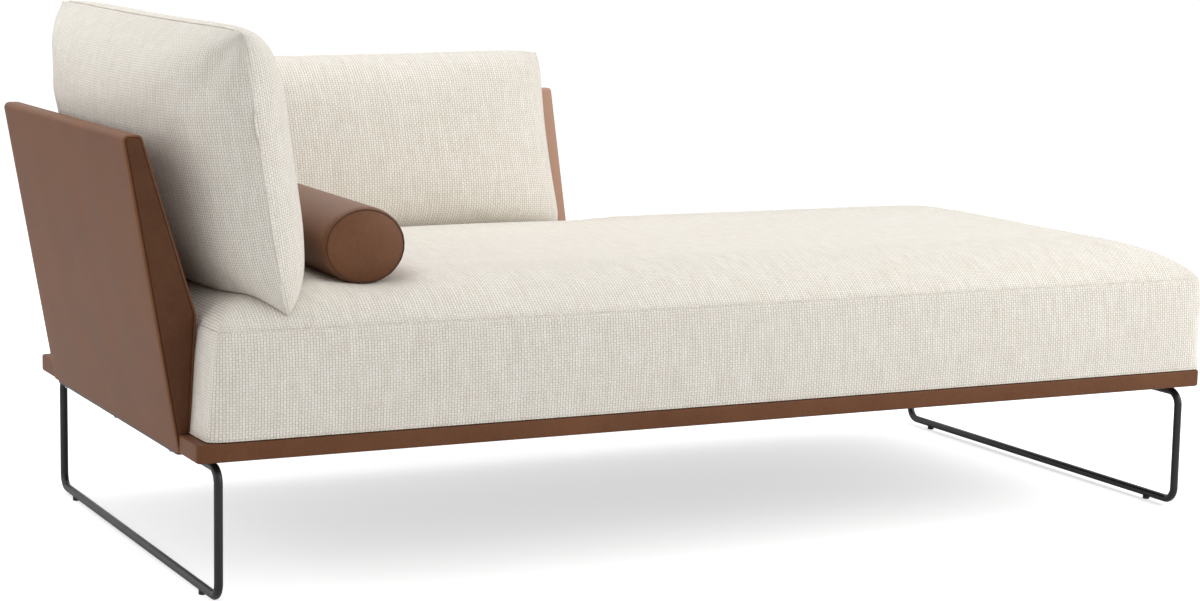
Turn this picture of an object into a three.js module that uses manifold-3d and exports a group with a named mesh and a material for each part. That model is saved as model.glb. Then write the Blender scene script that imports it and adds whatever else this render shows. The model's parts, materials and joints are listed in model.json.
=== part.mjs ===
// A chaise longue: a leather covered deck on two sleds of bent rod, with a leaning leather panel
// at its head end and another along its rear edge, a thick seat cushion, two back cushions and
// a leather bolster.
//
// All sizes are millimetres. The pieces are made with X running along the deck from its head
// end, Y running from its front edge to its rear edge, and Z the height over the floor. The
// finished group is then moved so that the middle of its footprint is the origin.

import * as THREE from 'three';
import Module from 'manifold-3d';
import { mergeVertices } from 'three/addons/utils/BufferGeometryUtils.js';

const wasm = await Module();
wasm.setup();

// Deck
const deckLength = 1905;
const deckDepth = 900;
const deckThickness = 30;
const deckUnderside = 225;
const deckCornerRadius = 7;
const deckEdgeRound = 4;
const leatherThickness = 1.6;
const leatherTurnUnder = 85;

// Clearance between pieces that touch, and how far a cut runs past a face
const fitGap = 0.3;
const cutOverrun = 5;

// Sleds: a closed loop of round rod with a flat bar welded along its top run
const rodDiameter = 14;
const rodBendRadius = 24;
const sledEndInset = 37;
const sledSideInset = 12;
const barEdgeInset = 2;
const barWidth = 66;
const barThickness = 4;
const barEndInset = 105;
const barCornerRadius = 6;
const barScrewEndInset = 45;
const headBarScrewCount = 3;
const footBarScrewCount = 2;

// Glides that the rods stand on
const glideHeight = 5;
const glideDiameter = 13;
const glideInset = 78;
const glideGrip = 3;
const glideChamfer = 1;

// Plates under the joint between the rear panel and the deck
const joinPlateLength = 62;
const joinPlateWidth = 40;
const joinPlateThickness = 3;
const joinPlateCornerRadius = 5;
const joinPlateEndInset = 120;
const joinPlateCount = 3;

// Screws, all of one kind
const screwShankDiameter = 5;
const screwHeadDiameter = 10;
const screwHeadHeight = 3;
const screwHeadCrownShare = 0.8;
const screwLength = 24;
const screwPointLength = 5;
const screwEdgeInset = 5.5;
const screwInnerInset = 9;

// Leaning panels, measured across from the deck's edge inwards
const panelTopHeight = 718;
const panelLeanOut = 86;
const panelFootThickness = 19;
const panelSeatHeight = 440;
const panelSeatReach = 30;
const panelTopThickness = 31;
const panelTopRound = 9;
const panelInnerRound = 30;
const panelBoardThickness = 14;
const panelCornerSetback = 91;
const rearPanelLength = 949;

// Seat cushion
const seatSeamHeight = 424;
const seatCrown = 54;
const seatCrownRun = 34;
const seatCornerRadius = 18;
const seatFrontInset = 3;
const seatFootInset = -2;
const seatSideDraw = 5;

// Back cushions: the cut of each one, then how it stands on the seat and against its panel
const coverThickness = 2.5;
const cushionDrawIn = 10;
const cushionCornerRound = 26;
const headCushionHeight = 454;
const headCushionThickness = 214;
const headCushionFrontInset = 12;
const headCushionRearInset = 79;
const headCushionFootReach = 96;
const headCushionSink = 36;
const headCushionLean = 9.5;
const headCushionTurn = 5;
const headCushionTip = 1.3;
const rearCushionWidth = 812;
const rearCushionHeight = 354;
const rearCushionThickness = 185;
const rearCushionFootReach = 52;
const rearCushionSink = 26;
const rearCushionLean = 16;
const rearCushionTip = 0.75;
const rearCushionEndInset = 42;

// Bolster: a soft roll, a little wider than it is high, drawn in at the seams of its two ends
const bolsterWidth = 139;
const bolsterHeight = 128;
const bolsterLength = 480;
const bolsterEndCrown = 9;
const bolsterRimDraw = 4;
const bolsterShoulder = 20;
const bolsterTurn = 2;
const bolsterSink = 8;
const bolsterHeadGap = 19;
const bolsterFrontInset = 117;

// Zips that close the covers
const zipWidth = 8;
const zipThickness = 2;
const zipLengthShare = 0.55;

// How finely the curved pieces are divided
const rodSides = 12;
const rodBendSteps = 6;
const glideSides = 12;
const screwSides = 10;
const holeSides = 8;
const cornerSteps = 4;
const cushionWidthSteps = 12;
const cushionHeightSteps = 10;
const bolsterSides = 24;

// Sizes that follow from these
const deckTop = deckUnderside + deckThickness;
const leatherFit = leatherThickness + fitGap;
const coverFit = coverThickness + fitGap;
const rodRadius = rodDiameter / 2;
const barUnderside = deckUnderside - fitGap - barThickness;
const rodTopLine = barUnderside - fitGap - rodRadius;
const rodBottomLine = glideHeight + rodRadius;
const headPanelLength = deckDepth - 2 * panelCornerSetback;
const rearPanelEnd = panelCornerSetback + rearPanelLength;
const seatTop = seatSeamHeight + seatCrown;
const headCushionWidth = deckDepth - seatFrontInset - headCushionFrontInset - headCushionRearInset;

function finish(color, roughness, metalness = 0) {
  return new THREE.MeshStandardMaterial({ color, roughness, metalness });
}

const leather = finish(0x80583f, 0.5);
const linen = finish(0xe3dccd, 0.95);
const blackRod = finish(0x2a2b2d, 0.45, 0.4);
const zinc = finish(0x8f9194, 0.4, 0.9);
const blackPlastic = finish(0x17181a, 0.6);
const blackCloth = finish(0x232323, 0.95);
const plywood = finish(0xb98f5f, 0.75);
const foam = finish(0xeee6cf, 0.9);
const zipTape = finish(0xc9bfac, 0.8);
const brownZipTape = finish(0x4d3527, 0.7);

// Helpers for solids

const chaise = new THREE.Group();

function addPiece(name, geometry, material) {
  const mesh = new THREE.Mesh(geometry, material);
  mesh.name = name;
  chaise.add(mesh);
}

function solidOf(geometry) {
  const bare = geometry.clone();
  bare.deleteAttribute('normal');
  bare.deleteAttribute('uv');
  const merged = mergeVertices(bare);
  const vertProperties = new Float32Array(merged.attributes.position.array);
  const triVerts = new Uint32Array(merged.index.array);
  return new wasm.Manifold(new wasm.Mesh({ numProp: 3, vertProperties, triVerts }));
}

function geometryOf(solid) {
  const mesh = solid.getMesh();
  const geometry = new THREE.BufferGeometry();
  geometry.setAttribute('position', new THREE.BufferAttribute(mesh.vertProperties, mesh.numProp));
  geometry.setIndex(new THREE.BufferAttribute(mesh.triVerts, 1));
  return geometry;
}

// The geometry with each of the cutters taken away
function without(geometry, ...cutters) {
  const remains = cutters.reduce((solid, cutter) => solid.subtract(solidOf(cutter)), solidOf(geometry));
  return geometryOf(remains);
}

function radians(degrees) {
  return THREE.MathUtils.degToRad(degrees);
}

function evenPlaces(start, end, count) {
  return Array.from({ length: count }, (_, index) => start + (end - start) * index / (count - 1));
}

// A shape with straight sides and rounded corners; each corner is [x, y, radius]
function roundedShape(corners) {
  const shape = new THREE.Shape();
  const count = corners.length;
  corners.forEach(([x, y, radius], index) => {
    const here = new THREE.Vector2(x, y);
    const before = new THREE.Vector2(...corners[(index + count - 1) % count]).sub(here).normalize();
    const after = new THREE.Vector2(...corners[(index + 1) % count]).sub(here).normalize();
    const reach = radius / Math.tan(Math.acos(before.dot(after)) / 2);
    const start = here.clone().addScaledVector(before, reach);
    const end = here.clone().addScaledVector(after, reach);
    if (index === 0) {
      shape.moveTo(start.x, start.y);
    } else {
      shape.lineTo(start.x, start.y);
    }
    if (radius > 0) {
      shape.quadraticCurveTo(here.x, here.y, end.x, end.y);
    }
  });
  shape.closePath();
  return shape;
}

function rectangle(x0, y0, x1, y1, radius) {
  return roundedShape([[x0, y0, radius], [x1, y0, radius], [x1, y1, radius], [x0, y1, radius]]);
}

// The shape made solid between two heights, its edges rounded by edgeRound
function plate(shape, bottom, top, edgeRound = 0) {
  const geometry = new THREE.ExtrudeGeometry(shape, {
    depth: top - bottom - 2 * edgeRound,
    curveSegments: cornerSteps,
    bevelEnabled: edgeRound > 0,
    bevelThickness: edgeRound,
    bevelSize: edgeRound,
    bevelOffset: -edgeRound,
    bevelSegments: 2,
  });
  return geometry.translate(0, 0, bottom + edgeRound);
}

function block(x0, y0, z0, x1, y1, z1) {
  const geometry = new THREE.BoxGeometry(x1 - x0, y1 - y0, z1 - z0);
  return geometry.translate((x0 + x1) / 2, (y0 + y1) / 2, (z0 + z1) / 2);
}

// A solid of revolution with its axis upright; a profile point is [radius, height]
function turned(profile, sides) {
  const geometry = new THREE.LatheGeometry(profile.map((point) => new THREE.Vector2(...point)), sides);
  return geometry.rotateX(Math.PI / 2);
}

function surfaceOf(positions, faces) {
  const geometry = new THREE.BufferGeometry();
  geometry.setAttribute('position', new THREE.Float32BufferAttribute(positions.flat(), 3));
  geometry.setIndex(faces.flat());
  return geometry;
}

// The two triangles between steps of one ring and the same steps of the next
function ringFaces(here, ahead, step, count) {
  const next = (step + 1) % count;
  return [here + step, here + next, ahead + next, here + step, ahead + next, ahead + step];
}

// A closed body from level rings of equally many points, each end a fan round its middle
function stackedRings(rings) {
  const count = rings[0].length;
  const steps = [...rings[0].keys()];
  const sumOf = (ring, axis) => ring.reduce((sum, point) => sum + point[axis], 0);
  const middleOf = (ring) => [0, 1, 2].map((axis) => sumOf(ring, axis) / count);
  const lowMiddle = rings.length * count;
  const topRing = lowMiddle - count;
  const walls = rings.slice(1).flatMap((_, level) => steps.map(
    (step) => ringFaces(level * count, (level + 1) * count, step, count),
  ));
  const lowFan = steps.map((step) => [lowMiddle, (step + 1) % count, step]);
  const highFan = steps.map((step) => [lowMiddle + 1, topRing + step, topRing + (step + 1) % count]);
  const positions = [...rings.flat(), middleOf(rings[0]), middleOf(rings.at(-1))];
  return surfaceOf(positions, [...walls, ...lowFan, ...highFan]);
}

// Screws: each place is noted where its plate is made, and every piece that it passes is drilled

const screwPlaces = [];

function placeScrew(name, x, y, bearing) {
  screwPlaces.push({ name, x, y, bearing });
}

function screw({ x, y, bearing }) {
  const shank = screwShankDiameter / 2;
  const head = screwHeadDiameter / 2;
  const profile = [
    [0, -screwHeadHeight], [head * screwHeadCrownShare, -screwHeadHeight], [head, -screwHeadHeight / 2],
    [head, 0], [shank, 0], [shank, screwLength - screwPointLength], [0, screwLength],
  ];
  return turned(profile, screwSides).translate(x, y, bearing - fitGap);
}

function screwHole({ x, y, bearing }) {
  const radius = screwShankDiameter / 2 + fitGap;
  const profile = [[0, -cutOverrun], [radius, -cutOverrun], [radius, screwLength], [0, screwLength]];
  return turned(profile, holeSides).translate(x, y, bearing);
}

function drilled(geometry) {
  return without(geometry, ...screwPlaces.map(screwHole));
}

// Sleds

// A closed loop of round rod in an upright plane across the deck. Every station of its four
// bends carries a ring whose points lie at the rod's radius along X and along the outward normal.
function rodLoop(x) {
  const near = sledSideInset + rodBendRadius;
  const far = deckDepth - near;
  const low = rodBottomLine + rodBendRadius;
  const high = rodTopLine - rodBendRadius;
  const bends = [[near, low], [far, low], [far, high], [near, high]];
  const stations = bends.flatMap(([bendY, bendZ], bend) => (
    Array.from({ length: rodBendSteps + 1 }, (_, step) => {
      const angle = (bend + 2 + step / rodBendSteps) * Math.PI / 2;
      return { bendY, bendZ, outY: Math.cos(angle), outZ: Math.sin(angle) };
    })
  ));
  const positions = stations.flatMap(({ bendY, bendZ, outY, outZ }) => (
    Array.from({ length: rodSides }, (_, side) => {
      const angle = (side + 0.5) / rodSides * 2 * Math.PI;
      const out = rodBendRadius + rodRadius * Math.sin(angle);
      return [x + rodRadius * Math.cos(angle), bendY + outY * out, bendZ + outZ * out];
    })
  ));
  const faces = stations.flatMap((_, ring) => {
    const ahead = ((ring + 1) % stations.length) * rodSides;
    const sides = Array.from({ length: rodSides }, (_side, step) => step);
    return sides.map((step) => ringFaces(ring * rodSides, ahead, step, rodSides));
  });
  return surfaceOf(positions, faces);
}

// A moulded foot whose saddle takes the underside of the rod
function glide(x, y) {
  const radius = glideDiameter / 2;
  const top = glideHeight + glideGrip;
  const profile = [[0, 0], [radius - glideChamfer, 0], [radius, glideChamfer], [radius, top], [0, top]];
  const body = turned(profile, glideSides);
  const saddle = rodRadius + fitGap;
  const rod = new THREE.CylinderGeometry(saddle, saddle, 2 * glideDiameter, 2 * glideSides);
  return without(body, rod.translate(0, 0, rodBottomLine)).translate(x, y, 0);
}

const underPlates = [];

// The bar lies with one edge near the end of the deck, so that at the head end it laps the joint
// between the panel's foot and the deck. Inwards is 1 at the head end and -1 at the foot end.
function sled(name, end, inwards, screwCount) {
  const rodX = end + inwards * sledEndInset;
  const outer = end + inwards * barEdgeInset;
  const inner = outer + inwards * barWidth;
  const outline = rectangle(
    Math.min(outer, inner),
    barEndInset,
    Math.max(outer, inner),
    deckDepth - barEndInset,
    barCornerRadius,
  );
  underPlates.push([`${name}_sled_mounting_bar`, plate(outline, barUnderside, barUnderside + barThickness)]);
  const firstRow = barEndInset + barScrewEndInset;
  evenPlaces(firstRow, deckDepth - firstRow, screwCount).forEach((y, row) => {
    placeScrew(`${name}_sled_edge_screw_${row + 1}`, outer + inwards * screwEdgeInset, y, barUnderside);
    placeScrew(`${name}_sled_deck_screw_${row + 1}`, inner - inwards * screwInnerInset, y, barUnderside);
  });
  addPiece(`${name}_sled_rod`, rodLoop(rodX), blackRod);
  addPiece(`${name}_sled_front_glide`, glide(rodX, sledSideInset + glideInset), blackPlastic);
  addPiece(`${name}_sled_rear_glide`, glide(rodX, deckDepth - sledSideInset - glideInset), blackPlastic);
}

sled('head', 0, 1, headBarScrewCount);
sled('foot', deckLength, -1, footBarScrewCount);

// Plates that lap the joint between the rear panel's foot and the deck

const plateUnderside = deckUnderside - fitGap - joinPlateThickness;
const plateOuter = deckDepth - barEdgeInset;
const plateInner = plateOuter - joinPlateLength;

const firstPlate = panelCornerSetback + joinPlateEndInset;
const lastPlate = rearPanelEnd - joinPlateEndInset;

evenPlaces(firstPlate, lastPlate, joinPlateCount).forEach((x, index) => {
  const half = joinPlateWidth / 2;
  const outline = rectangle(x - half, plateInner, x + half, plateOuter, joinPlateCornerRadius);
  const joinPlate = plate(outline, plateUnderside, plateUnderside + joinPlateThickness);
  underPlates.push([`rear_panel_join_plate_${index + 1}`, joinPlate]);
  placeScrew(`rear_panel_edge_screw_${index + 1}`, x, plateOuter - screwEdgeInset, plateUnderside);
  placeScrew(`rear_panel_deck_screw_${index + 1}`, x, plateInner + screwInnerInset, plateUnderside);
});

underPlates.forEach(([name, geometry]) => addPiece(name, drilled(geometry), blackRod));
screwPlaces.forEach((place) => addPiece(place.name, screw(place), zinc));

// Deck: a board in a leather skin, with black cloth closing the skin underneath

// The deck's plan between two heights, notched for the foot of each panel
function deckSlab(inset, bottom, top, edgeRound) {
  const radius = Math.max(deckCornerRadius - inset, 0);
  const outline = rectangle(inset, inset, deckLength - inset, deckDepth - inset, radius);
  const notch = panelFootThickness + fitGap + inset;
  const near = panelCornerSetback - fitGap - inset;
  const low = bottom - cutOverrun;
  const high = top + cutOverrun;
  return without(
    plate(outline, bottom, top, edgeRound),
    block(-cutOverrun, near, low, notch, deckDepth - near, high),
    block(near, deckDepth - notch, low, rearPanelEnd + fitGap + inset, deckDepth + cutOverrun, high),
  );
}

function underside(inset, bottom, top) {
  const edge = leatherTurnUnder + inset;
  return plate(rectangle(edge, edge, deckLength - edge, deckDepth - edge, deckCornerRadius), bottom, top);
}

const boardBottom = deckUnderside + leatherFit;
const boardTop = deckTop - leatherFit;
const deckSkin = without(
  deckSlab(0, deckUnderside, deckTop, deckEdgeRound),
  deckSlab(leatherThickness, deckUnderside + leatherThickness, deckTop - leatherThickness, 0),
  underside(0, deckUnderside - cutOverrun, boardBottom),
);
addPiece('deck_board', drilled(deckSlab(leatherFit, boardBottom, boardTop, 0)), plywood);
addPiece('deck_leather', drilled(deckSkin), leather);
addPiece('deck_undercloth', underside(fitGap, deckUnderside, deckUnderside + leatherThickness), blackCloth);

// Leaning panels

// The outline across a panel, x growing inwards from the deck's edge and y upwards, from its
// outer foot round by the seat side. The inset moves every side but the foot inwards.
function panelCorners(inset) {
  const corners = [
    [0, deckUnderside, 0],
    [panelFootThickness, deckUnderside, 0],
    [panelFootThickness, deckTop, 0],
    [panelSeatReach, panelSeatHeight, panelInnerRound],
    [panelTopThickness - panelLeanOut, panelTopHeight, panelTopRound],
    [-panelLeanOut, panelTopHeight, panelTopRound],
  ];
  const sides = corners.map(([x, y], index) => {
    const [nextX, nextY] = corners[(index + 1) % corners.length];
    const along = new THREE.Vector2(nextX - x, nextY - y);
    const inwards = new THREE.Vector2(-along.y, along.x).setLength(index === 0 ? 0 : inset);
    return { start: new THREE.Vector2(x, y).add(inwards), along };
  });
  return sides.map((side, index) => {
    const before = sides[(index + sides.length - 1) % sides.length];
    const offset = side.start.clone().sub(before.start);
    const share = offset.cross(side.along) / before.along.cross(side.along);
    const corner = before.start.clone().addScaledVector(before.along, share);
    return [corner.x, corner.y, Math.max(corners[index][2] - inset, 0)];
  });
}

// The leather that wraps a panel over its top, open along its foot
function wrapShape() {
  const pathPoints = (inset) => {
    const [footOuter, ...others] = roundedShape(panelCorners(inset)).getPoints(cornerSteps);
    return [...others.filter((point) => !point.equals(footOuter)), footOuter];
  };
  return new THREE.Shape([...pathPoints(0), ...pathPoints(leatherThickness).reverse()]);
}

// The board stands along the outer face, and the foam wedge fills the rest above the deck
function boardShape() {
  const [foot, , , , , top] = panelCorners(leatherFit);
  return roundedShape([
    foot, [foot[0] + panelBoardThickness, foot[1], 0], [top[0] + panelBoardThickness, top[1], 0], top,
  ]);
}

function foamShape() {
  const [foot, , deckCorner, seatCorner, innerTop, top] = panelCorners(leatherFit);
  const past = panelBoardThickness + fitGap;
  const share = (deckTop - foot[1]) / (top[1] - foot[1]);
  const boardAtDeck = foot[0] + (top[0] - foot[0]) * share;
  return roundedShape([
    [boardAtDeck + past, deckTop, 0], [deckCorner[0], deckTop, 0],
    seatCorner, innerTop, [top[0] + past, top[1], 0],
  ]);
}

// Where a panel stands: its outline's own x points inwards, its y up, and its length runs from
// the far end towards the front edge or the head end
const upright = new THREE.Vector3(0, 0, 1);
const towardsFront = new THREE.Vector3(0, -1, 0);
const towardsHead = new THREE.Vector3(-1, 0, 0);
const panelPlaces = {
  head: new THREE.Matrix4()
    .makeBasis(new THREE.Vector3(1, 0, 0), upright, towardsFront)
    .setPosition(0, deckDepth - panelCornerSetback, 0),
  rear: new THREE.Matrix4()
    .makeBasis(towardsFront, upright, towardsHead)
    .setPosition(rearPanelEnd, deckDepth, 0),
};

function alongPanel(panel, shape, start, end) {
  return plate(shape, start, end).applyMatrix4(panelPlaces[panel]);
}

function leaningPanel(panel, length, farEnd, nearEnd) {
  const piece = (shape, start, end) => alongPanel(panel, shape, start, end);
  const outline = roundedShape(panelCorners(0));
  const inner = length - leatherFit;
  addPiece(`${panel}_panel_board`, drilled(piece(boardShape(), leatherFit, inner)), plywood);
  addPiece(`${panel}_panel_foam`, piece(foamShape(), leatherFit, inner), foam);
  addPiece(`${panel}_panel_leather`, piece(wrapShape(), leatherFit, inner), leather);
  addPiece(`${panel}_panel_${farEnd}_gusset`, piece(outline, 0, leatherThickness), leather);
  addPiece(`${panel}_panel_${nearEnd}_gusset`, piece(outline, length - leatherThickness, length), leather);
}

leaningPanel('head', headPanelLength, 'rear', 'front');
leaningPanel('rear', rearPanelLength, 'foot', 'head');

// Seat cushion

// How far the inner face of a panel stands in from the deck's edge at a height by the seat
function panelReach(height) {
  const share = (height - deckTop) / (panelSeatHeight - deckTop);
  return panelFootThickness + (panelSeatReach - panelFootThickness) * share;
}

// A rounded rectangle of the seat's plan at a height, drawn in by inset from the cushion's sides
function seatRing(height, inset, radius) {
  const sides = panelReach(height) + fitGap + inset;
  const x0 = sides;
  const x1 = deckLength - seatFootInset - inset;
  const y0 = seatFrontInset + inset;
  const y1 = deckDepth - sides;
  const points = rectangle(x0, y0, x1, y1, radius).getPoints(cornerSteps);
  return points.slice(0, 4 * (cornerSteps + 1)).map(({ x, y }) => [x, y, height]);
}

// A box cushion: sides that swell between their seams, and a crown that rises fast from the top
// seam and is nearly level inside. The inset gives the same form a wall's thickness further in.
function seatForm(inset) {
  const bottom = deckTop + fitGap + inset;
  const seam = seatSeamHeight - inset;
  const sideShares = [0, 0.05, 0.25, 0.6, 0.9, 1];
  const crownShares = [0.2, 0.5, 0.9, 1.5, 2.5, 4.5];
  const radius = seatCornerRadius - inset;
  const sides = sideShares.map((share) => {
    const draw = seatSideDraw * Math.abs(2 * share - 1) ** 3;
    return seatRing(bottom + (seam - bottom) * share, inset + draw, radius);
  });
  const crown = crownShares.map((share) => {
    const run = share * seatCrownRun;
    const rise = seatCrown * (1 - Math.exp(-share));
    const level = seatRing(seam, inset + seatSideDraw + run, radius + run / 2);
    return level.map(([x, y]) => [x, y, seam + rise]);
  });
  return stackedRings([...sides, ...crown]);
}

const seatSolid = seatForm(0);

function overSeat(gap) {
  return seatSolid.clone().translate(0, 0, gap);
}

// A cover with a zipped slot, the filling inside it, and the zip
function cushion(name, forms, slot, zip, material, tape) {
  const [outer, hollow, filling] = forms;
  addPiece(`${name}_cover`, without(outer, hollow, slot), material);
  addPiece(`${name}_core`, without(filling, slot), foam);
  addPiece(`${name}_zip`, zip, tape);
}

const seatZipHeight = (deckTop + seatSeamHeight) / 2;
const seatZipLength = (deckLength - rearPanelEnd) * zipLengthShare;
const seatZipMiddle = (deckLength + rearPanelEnd) / 2;
const seatRear = deckDepth - panelReach(seatZipHeight) - fitGap;

// A strip across the rear face of the seat cushion, between two depths under its surface
function seatStrip(side, outerDepth, innerDepth) {
  const half = seatZipLength / 2 - side;
  const rise = zipWidth / 2 - side;
  return block(
    seatZipMiddle - half, seatRear - innerDepth, seatZipHeight - rise,
    seatZipMiddle + half, seatRear - outerDepth, seatZipHeight + rise,
  );
}

cushion(
  'seat_cushion',
  [seatSolid, seatForm(coverThickness), seatForm(coverFit)],
  seatStrip(0, -cutOverrun, coverThickness + fitGap),
  seatStrip(fitGap, fitGap, zipThickness),
  linen,
  zipTape,
);

// Back cushions

// A knife edged cushion: two swelling faces that meet in one seam round the edge. Width runs along
// local X, height along Y and thickness along Z. The edge is drawn in between the corners, the
// corners are rounded, and the thickness falls from the middle as a root to nothing at the edge.
function cushionForm({ width, height, thickness }, inset) {
  const cornerPull = cushionCornerRound * (1 - Math.SQRT1_2);
  const spread = (step, steps) => Math.sin((step / steps - 0.5) * Math.PI);
  const fullness = (share) => Math.sqrt(Math.max(1 - share ** 4, 0));
  const point = (column, row, face) => {
    const across = spread(column, cushionWidthSteps);
    const up = spread(row, cushionHeightSteps);
    const drawn = (other) => cushionDrawIn * (1 - other ** 2) + cornerPull * other ** 12;
    const reach = (size, other) => size / 2 - inset - drawn(other);
    const swell = face * (thickness / 2 - inset) * fullness(across) * fullness(up);
    return [across * reach(width, up), up * reach(height, across), swell];
  };
  const columns = cushionWidthSteps + 1;
  const positions = [];
  const faces = [];
  for (const face of [1, -1]) {
    const first = positions.length;
    for (let row = 0; row <= cushionHeightSteps; row++) {
      for (let column = 0; column <= cushionWidthSteps; column++) {
        positions.push(point(column, row, face));
      }
    }
    for (let row = 0; row < cushionHeightSteps; row++) {
      for (let column = 0; column < cushionWidthSteps; column++) {
        const here = first + row * columns + column;
        const above = here + columns;
        faces.push(face > 0
          ? [here, here + 1, above + 1, here, above + 1, above]
          : [here, above + 1, here + 1, here, above, above + 1]);
      }
    }
  }
  return surfaceOf(positions, faces);
}

// The turn and place of a leaning cushion. Its front looks along frontAngle in plan, its top
// leans back, tip raises the end to the right of someone behind it, and foot is the middle of
// its lower seam.
function cushionPlace({ frontAngle, lean, tip, height, foot }) {
  const front = new THREE.Vector3(Math.cos(frontAngle), Math.sin(frontAngle), 0);
  const out = front.clone().multiplyScalar(Math.cos(lean)).setZ(Math.sin(lean));
  const rise = front.clone().multiplyScalar(-Math.sin(lean)).setZ(Math.cos(lean));
  const across = rise.clone().cross(out).applyAxisAngle(out, tip);
  const up = rise.applyAxisAngle(out, tip);
  const centre = foot.clone().addScaledVector(up, height / 2);
  return new THREE.Matrix4().makeBasis(across, up, out).setPosition(centre);
}

// All that lies behind a panel's inner face, from the deck upwards, moved inwards by gap. It runs
// past the panel's top and ends, by sizes that are long enough for any cushion there.
function behindPanel(panel, gap, rise, run) {
  const [, , deckCorner, seatCorner, innerTop] = panelCorners(-gap);
  const lean = (innerTop[0] - seatCorner[0]) / (innerTop[1] - seatCorner[1]);
  const high = innerTop[1] + rise;
  const far = seatCorner[0] + lean * (high - seatCorner[1]);
  const shape = roundedShape([
    [deckCorner[0] - run, deckCorner[1], 0], [deckCorner[0], deckCorner[1], 0],
    [seatCorner[0], seatCorner[1], 0], [far, high, 0], [far - run, high, 0],
  ]);
  return alongPanel(panel, shape, -run, deckLength);
}

// A back cushion, pressed flat where it meets the seat and its panel
function backCushion(name, size, place, panel, zipSide) {
  const form = (inset) => without(
    cushionForm(size, inset).applyMatrix4(place),
    overSeat(fitGap + inset),
    behindPanel(panel, fitGap + inset, size.height, size.width),
  );
  const edge = size.width / 2 - cushionDrawIn;
  const strip = (side, outerDepth, innerDepth) => {
    const rise = size.height * zipLengthShare / 2 - side;
    const half = zipWidth / 2 - side;
    const ends = [zipSide * (edge - innerDepth), zipSide * (edge - outerDepth)];
    return block(Math.min(...ends), -rise, -half, Math.max(...ends), rise, half).applyMatrix4(place);
  };
  cushion(
    name,
    [form(0), form(coverThickness), form(coverFit)],
    strip(0, -cutOverrun - cushionDrawIn, 2 * coverThickness),
    strip(fitGap, 0, zipThickness),
    linen,
    zipTape,
  );
}

const headSize = { width: headCushionWidth, height: headCushionHeight, thickness: headCushionThickness };
const headTurn = radians(headCushionTurn);
const headFoot = new THREE.Vector3(
  panelSeatReach + headCushionFootReach,
  seatFrontInset + headCushionFrontInset + headCushionWidth / 2 * Math.cos(headTurn),
  seatTop - headCushionSink,
);
const headPlace = cushionPlace({
  frontAngle: headTurn,
  lean: radians(headCushionLean),
  tip: radians(headCushionTip),
  height: headCushionHeight,
  foot: headFoot,
});
backCushion('head_cushion', headSize, headPlace, 'head', 1);

const rearSize = { width: rearCushionWidth, height: rearCushionHeight, thickness: rearCushionThickness };
const rearFoot = new THREE.Vector3(
  rearPanelEnd - rearCushionEndInset - rearCushionWidth / 2,
  deckDepth - panelSeatReach - rearCushionFootReach,
  seatTop - rearCushionSink,
);
const rearPlace = cushionPlace({
  frontAngle: -Math.PI / 2,
  lean: radians(rearCushionLean),
  tip: radians(rearCushionTip),
  height: rearCushionHeight,
  foot: rearFoot,
});
backCushion('rear_cushion', rearSize, rearPlace, 'rear', -1);

// Bolster. It is made along its own axis, from the seam of its front end, and then laid down.

const bolsterRadius = bolsterHeight / 2;
const bolsterRim = bolsterRadius - bolsterRimDraw;
const bolsterAngle = radians(bolsterTurn);
const bolsterAlong = new THREE.Vector3(Math.sin(bolsterAngle), Math.cos(bolsterAngle), 0);
const bolsterStart = new THREE.Vector3(
  headFoot.x + headCushionThickness / 2 + bolsterHeadGap + bolsterWidth / 2,
  seatFrontInset + bolsterFrontInset,
  seatTop - bolsterSink + bolsterRadius,
);
const downwards = upright.clone().negate();
const bolsterPlace = new THREE.Matrix4()
  .makeBasis(downwards.clone().cross(bolsterAlong), downwards, bolsterAlong)
  .setPosition(bolsterStart);

// Points of the end's swell, from the axis to the rim, and of the tube's shoulder, as shares
const bolsterEndShares = [0, 0.4, 0.75, 1];
const bolsterShoulderShares = [[0, 0], [0.3, 0.65], [1, 1]];

// A round form on the bolster's axis, widened to the roll's own section and cut flat on the seat
function bolsterForm(profile, gap) {
  const form = turned(profile, bolsterSides).scale(bolsterWidth / bolsterHeight, 1, 1);
  return without(form.applyMatrix4(bolsterPlace), overSeat(fitGap + gap));
}

// The swelling end at a level; outwards is -1 at the front end and 1 at the rear end
function bolsterEnd(radius, level, outwards) {
  const swell = (share) => outwards * bolsterEndCrown * (1 - share ** 2);
  return bolsterEndShares.map((share) => [radius * share, level + swell(share)]);
}

function bolsterCap(level, outwards) {
  const outer = bolsterEnd(bolsterRim, level, outwards);
  const inner = bolsterEnd(bolsterRim, level - outwards * leatherThickness, outwards);
  return bolsterForm(outwards > 0 ? [...inner, ...outer.reverse()] : [...outer, ...inner.reverse()], 0);
}

function bolsterSide(inset) {
  const front = bolsterShoulderShares.map(([run, rise]) => (
    [bolsterRim - inset + bolsterRimDraw * rise, leatherFit + bolsterShoulder * run]
  ));
  return [...front, ...front.map(([radius, level]) => [radius, bolsterLength - level]).reverse()];
}

const tubeSide = bolsterSide(0);
const hollowSide = bolsterSide(leatherThickness);
const tubeEnds = [tubeSide[0][1], tubeSide.at(-1)[1]];
const hollowEnds = [tubeEnds[0] - cutOverrun, tubeEnds[1] + cutOverrun];
const tube = [[0, tubeEnds[0]], ...tubeSide, [0, tubeEnds[1]]];
const hollow = [
  [0, hollowEnds[0]], [hollowSide[0][0], hollowEnds[0]], ...hollowSide,
  [hollowSide[0][0], hollowEnds[1]], [0, hollowEnds[1]],
];
const coreSide = bolsterSide(leatherFit);
const core = [
  ...bolsterEnd(coreSide[0][0], tubeEnds[0], -1), ...coreSide.slice(1, -1),
  ...bolsterEnd(coreSide[0][0], tubeEnds[1], 1).reverse(),
];

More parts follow.
